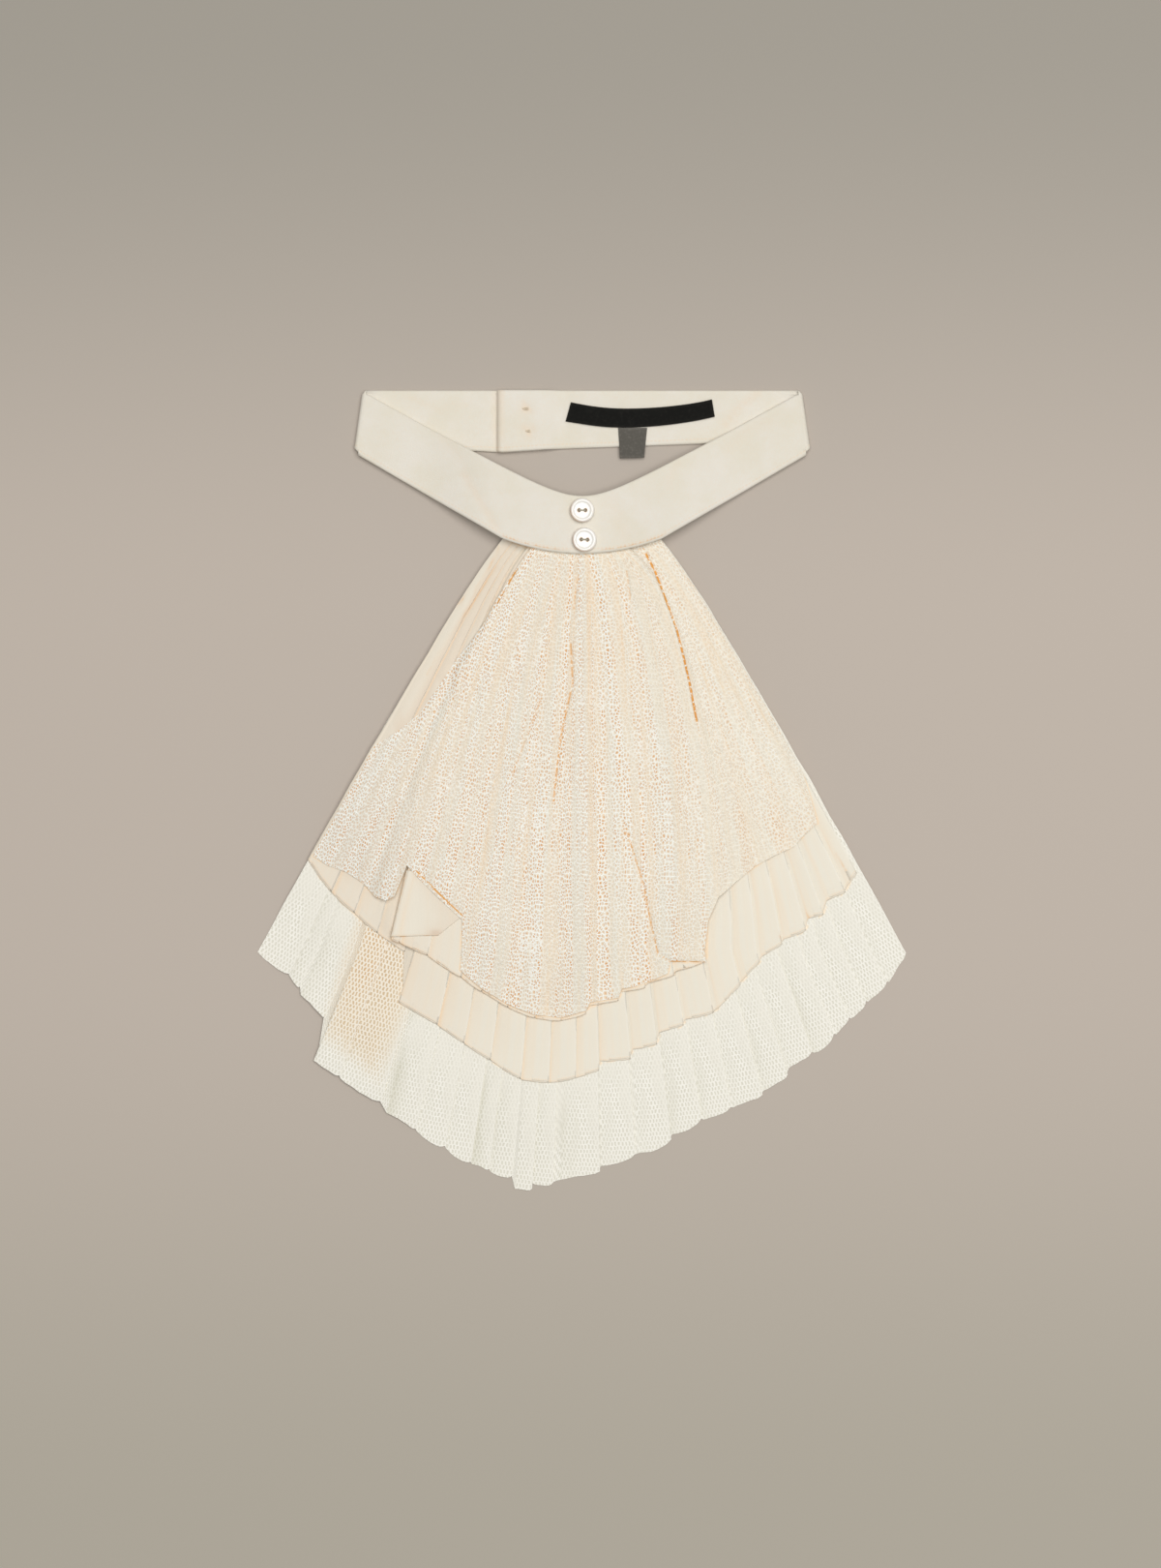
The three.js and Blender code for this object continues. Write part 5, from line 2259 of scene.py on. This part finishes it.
@dataclass
class Tack:
    """A small bar of thread through the lap of the band."""

    name: str
    centre: Point
    thread: Thread
    slot: str = "band_crepe"
    length: float = 2.6
    height: float = 3.45
    strands: int = 3
    strand_step: float = 0.34
    strand_radius: float = 0.16

    def build(self) -> None:
        """Makes the strands side by side."""
        for number in range(self.strands):
            place = number - 1
            path = []
            for way in np.linspace(-1, 1, 9):
                x = self.centre[0] + way * self.length / 2
                y = self.centre[1] + place * self.strand_step + 0.2 * way * place
                path.append((x, y, self.height - 0.55 + 0.45 * math.cos(way * math.pi / 2)))
            strand(f"{self.name}_{number + 1}", path, self.strand_radius, self.thread)


@dataclass(frozen=True)
class Studio:
    """Camera, soft light and floor."""

    middle: Point = (-0.7, 2.74)
    tall: float = 648.0
    lens: float = 85.0
    sensor: float = 36.0
    subject_height: float = 4.0
    sky: float = 0.21
    sky_colour: Colour = (1.0, 0.985, 0.965)
    key_power: float = 62.0
    key_colour: Colour = (1.0, 0.985, 0.96)
    key_size: float = 2.4
    key_place: Place = (0.3, 0.35, 2.5)
    floor_half: float = 2.5

    def camera(self) -> None:
        """Looks straight down, as far off as the frame asks."""
        data = bpy.data.cameras.new("camera")
        data.lens = self.lens
        data.sensor_width = self.sensor
        camera = in_scene("camera", data)
        distance = self.tall * self.lens / self.sensor + self.subject_height
        camera.location = (self.middle[0] * MM, self.middle[1] * MM, distance * MM)
        bpy.context.scene.camera = camera

    def light(self) -> None:
        """A bright even room and one large soft lamp from the upper right."""
        scene = bpy.context.scene
        world = bpy.data.worlds.new("studio")
        world.use_nodes = True
        background = world.node_tree.nodes["Background"]
        background.inputs["Color"].default_value = (*self.sky_colour, 1.0)
        background.inputs["Strength"].default_value = self.sky
        scene.world = world
        scene.view_settings.view_transform = "Standard"
        lamp = bpy.data.lights.new("soft_lamp", "AREA")
        lamp.shape = "DISK"
        lamp.size = self.key_size
        lamp.energy = self.key_power
        lamp.color = self.key_colour
        holder = in_scene("soft_lamp", lamp)
        holder.location = self.key_place
        holder.rotation_euler = Vector(self.key_place).to_track_quat("Z", "Y").to_euler()

    def floor(self) -> None:
        """A wide sheet of paper."""
        sheet = bmesh.new()
        bmesh.ops.create_grid(sheet, x_segments=1, y_segments=1, size=self.floor_half)
        floor = in_scene("floor", finished("floor", sheet))
        floor.data.materials.append(Paper().material())

    def build(self) -> None:
        """Makes the camera, the light and the floor."""
        self.camera()
        self.light()
        self.floor()


def tiers() -> tuple[PleatedTier, ...]:
    """The three tiers.

    Returns:
        The tiers from the lowest up.
    """
    net = PleatedTier(
        node="net_tier", slot="net", finish=Net(),
        cut=Cut(0.70, 0.27, 0.104, Held.GATHERED, ("tucked_pleat_cloth",)),
        pleats=NET_PLEATS, level=0, seed=11, depths=(0.45, 0.85), drop=0.65, relief=0.36,
        hem_sag=1.3, hem_ripple=0.3, waviness=0.8, least_shade=0.08,
    )
    lower = PleatedTier(
        node="lower_tier", slot="georgette", finish=Georgette("georgette_lower"), sheet_wall=GEORGETTE_WALL,
        cut=Cut(0.60, 0.23, 0.078, Held.GATHERED, ("net_tier_cloth",)),
        pleats=LOWER_PLEATS, level=1, seed=23, depths=(0.55, 0.88), drop=0.98, hem_shade=0.25,
    )
    upper = FlappedTier(
        node="upper_tier", slot="georgette", finish=Georgette("georgette_upper"), sheet_wall=GEORGETTE_WALL,
        flap_name="upper_tier_flap",
        cut=Cut(0.34, 0.20, 0.044, Held.GATHERED, ("lower_tier_cloth",)),
        pleats=UPPER_PLEATS, level=2, seed=37, depths=(0.55, 0.88), drop=0.98, first_shade=1.0, hem_shade=0.6,
    )
    return net, lower, upper


def cloths() -> tuple[ClothPiece, ...]:
    """The tucked pleat, the lace and the band.

    Returns:
        The three.
    """
    return (
        TuckedPleat(
            node="tucked_pleat", slot="georgette", finish=Georgette("georgette_tucked"),
            sheet_wall=GEORGETTE_WALL, cut=Cut(0.03, 0.06, 0.0010, Held.LAID),
        ),
        LaceOverlay(
            node="lace_overlay", slot="lace", finish=Lace(),
            cut=Cut(0.22, 0.21, 0.0255, Held.GATHERED, ("upper_tier_cloth",)),
        ),
        NeckBand(
            node="neck_band", slot="band_crepe", finish=Crepe(),
            cut=Cut(0.42, 0.034, 0.0115, Held.FOLDED, ("upper_tier_cloth",)),
        ),
    )


def tapes() -> tuple[WovenTape, ...]:
    """The label and the size tab, both bare.

    Returns:
        The two.
    """
    return (
        WovenTape(
            node="label", slot="label_tape",
            finish=Tape("tape_black", linear(20, 20, 18), linear(52, 50, 46)),
            cut=Cut(0.060, 0.010, 0.00050, Held.FOLDED, ("neck_band_cloth",)),
            stations=LABEL_STATIONS, base=1.95,
        ),
        WovenTape(
            node="size_tab", slot="tab_tape",
            finish=Tape("tape_grey", linear(96, 93, 87), linear(140, 136, 128)),
            cut=Cut(0.012, 0.0125, 0.00014, Held.LAID, ("neck_band_cloth",)),
            stations=TAB_STATIONS, base=1.85, columns=30, wave=0.05,
        ),
    )


def buttons() -> tuple[Button, ...]:
    """The two buttons.

    Returns:
        The buttons from the neck down.
    """
    green_grey = Thread("thread_green_grey", linear(222, 218, 202), linear(168, 160, 136))
    places = (("button_upper", (0.0, 115.4), 0.0), ("button_lower", (0.9, 103.3), -0.05))
    return tuple(
        Button(node, "pearl", centre, Pearl(f"pearl_{node}"), green_grey, turn=turn)
        for node, centre, turn in places
    )


def main() -> None:
    """Builds the jabot, piece by piece."""
    Studio().build()
    for part in (*tiers(), *cloths(), *tapes(), *buttons()):
        LOG.info("%s", part.build().name)
    cream = Thread("thread_cream", linear(242, 232, 212), linear(226, 204, 172))
    for name, centre in TACKS.items():
        Tack(name, centre, cream).build()
        LOG.info("%s", name)


if __name__ == "__main__":
    logging.basicConfig(level=logging.INFO, format="%(message)s")
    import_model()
    main()
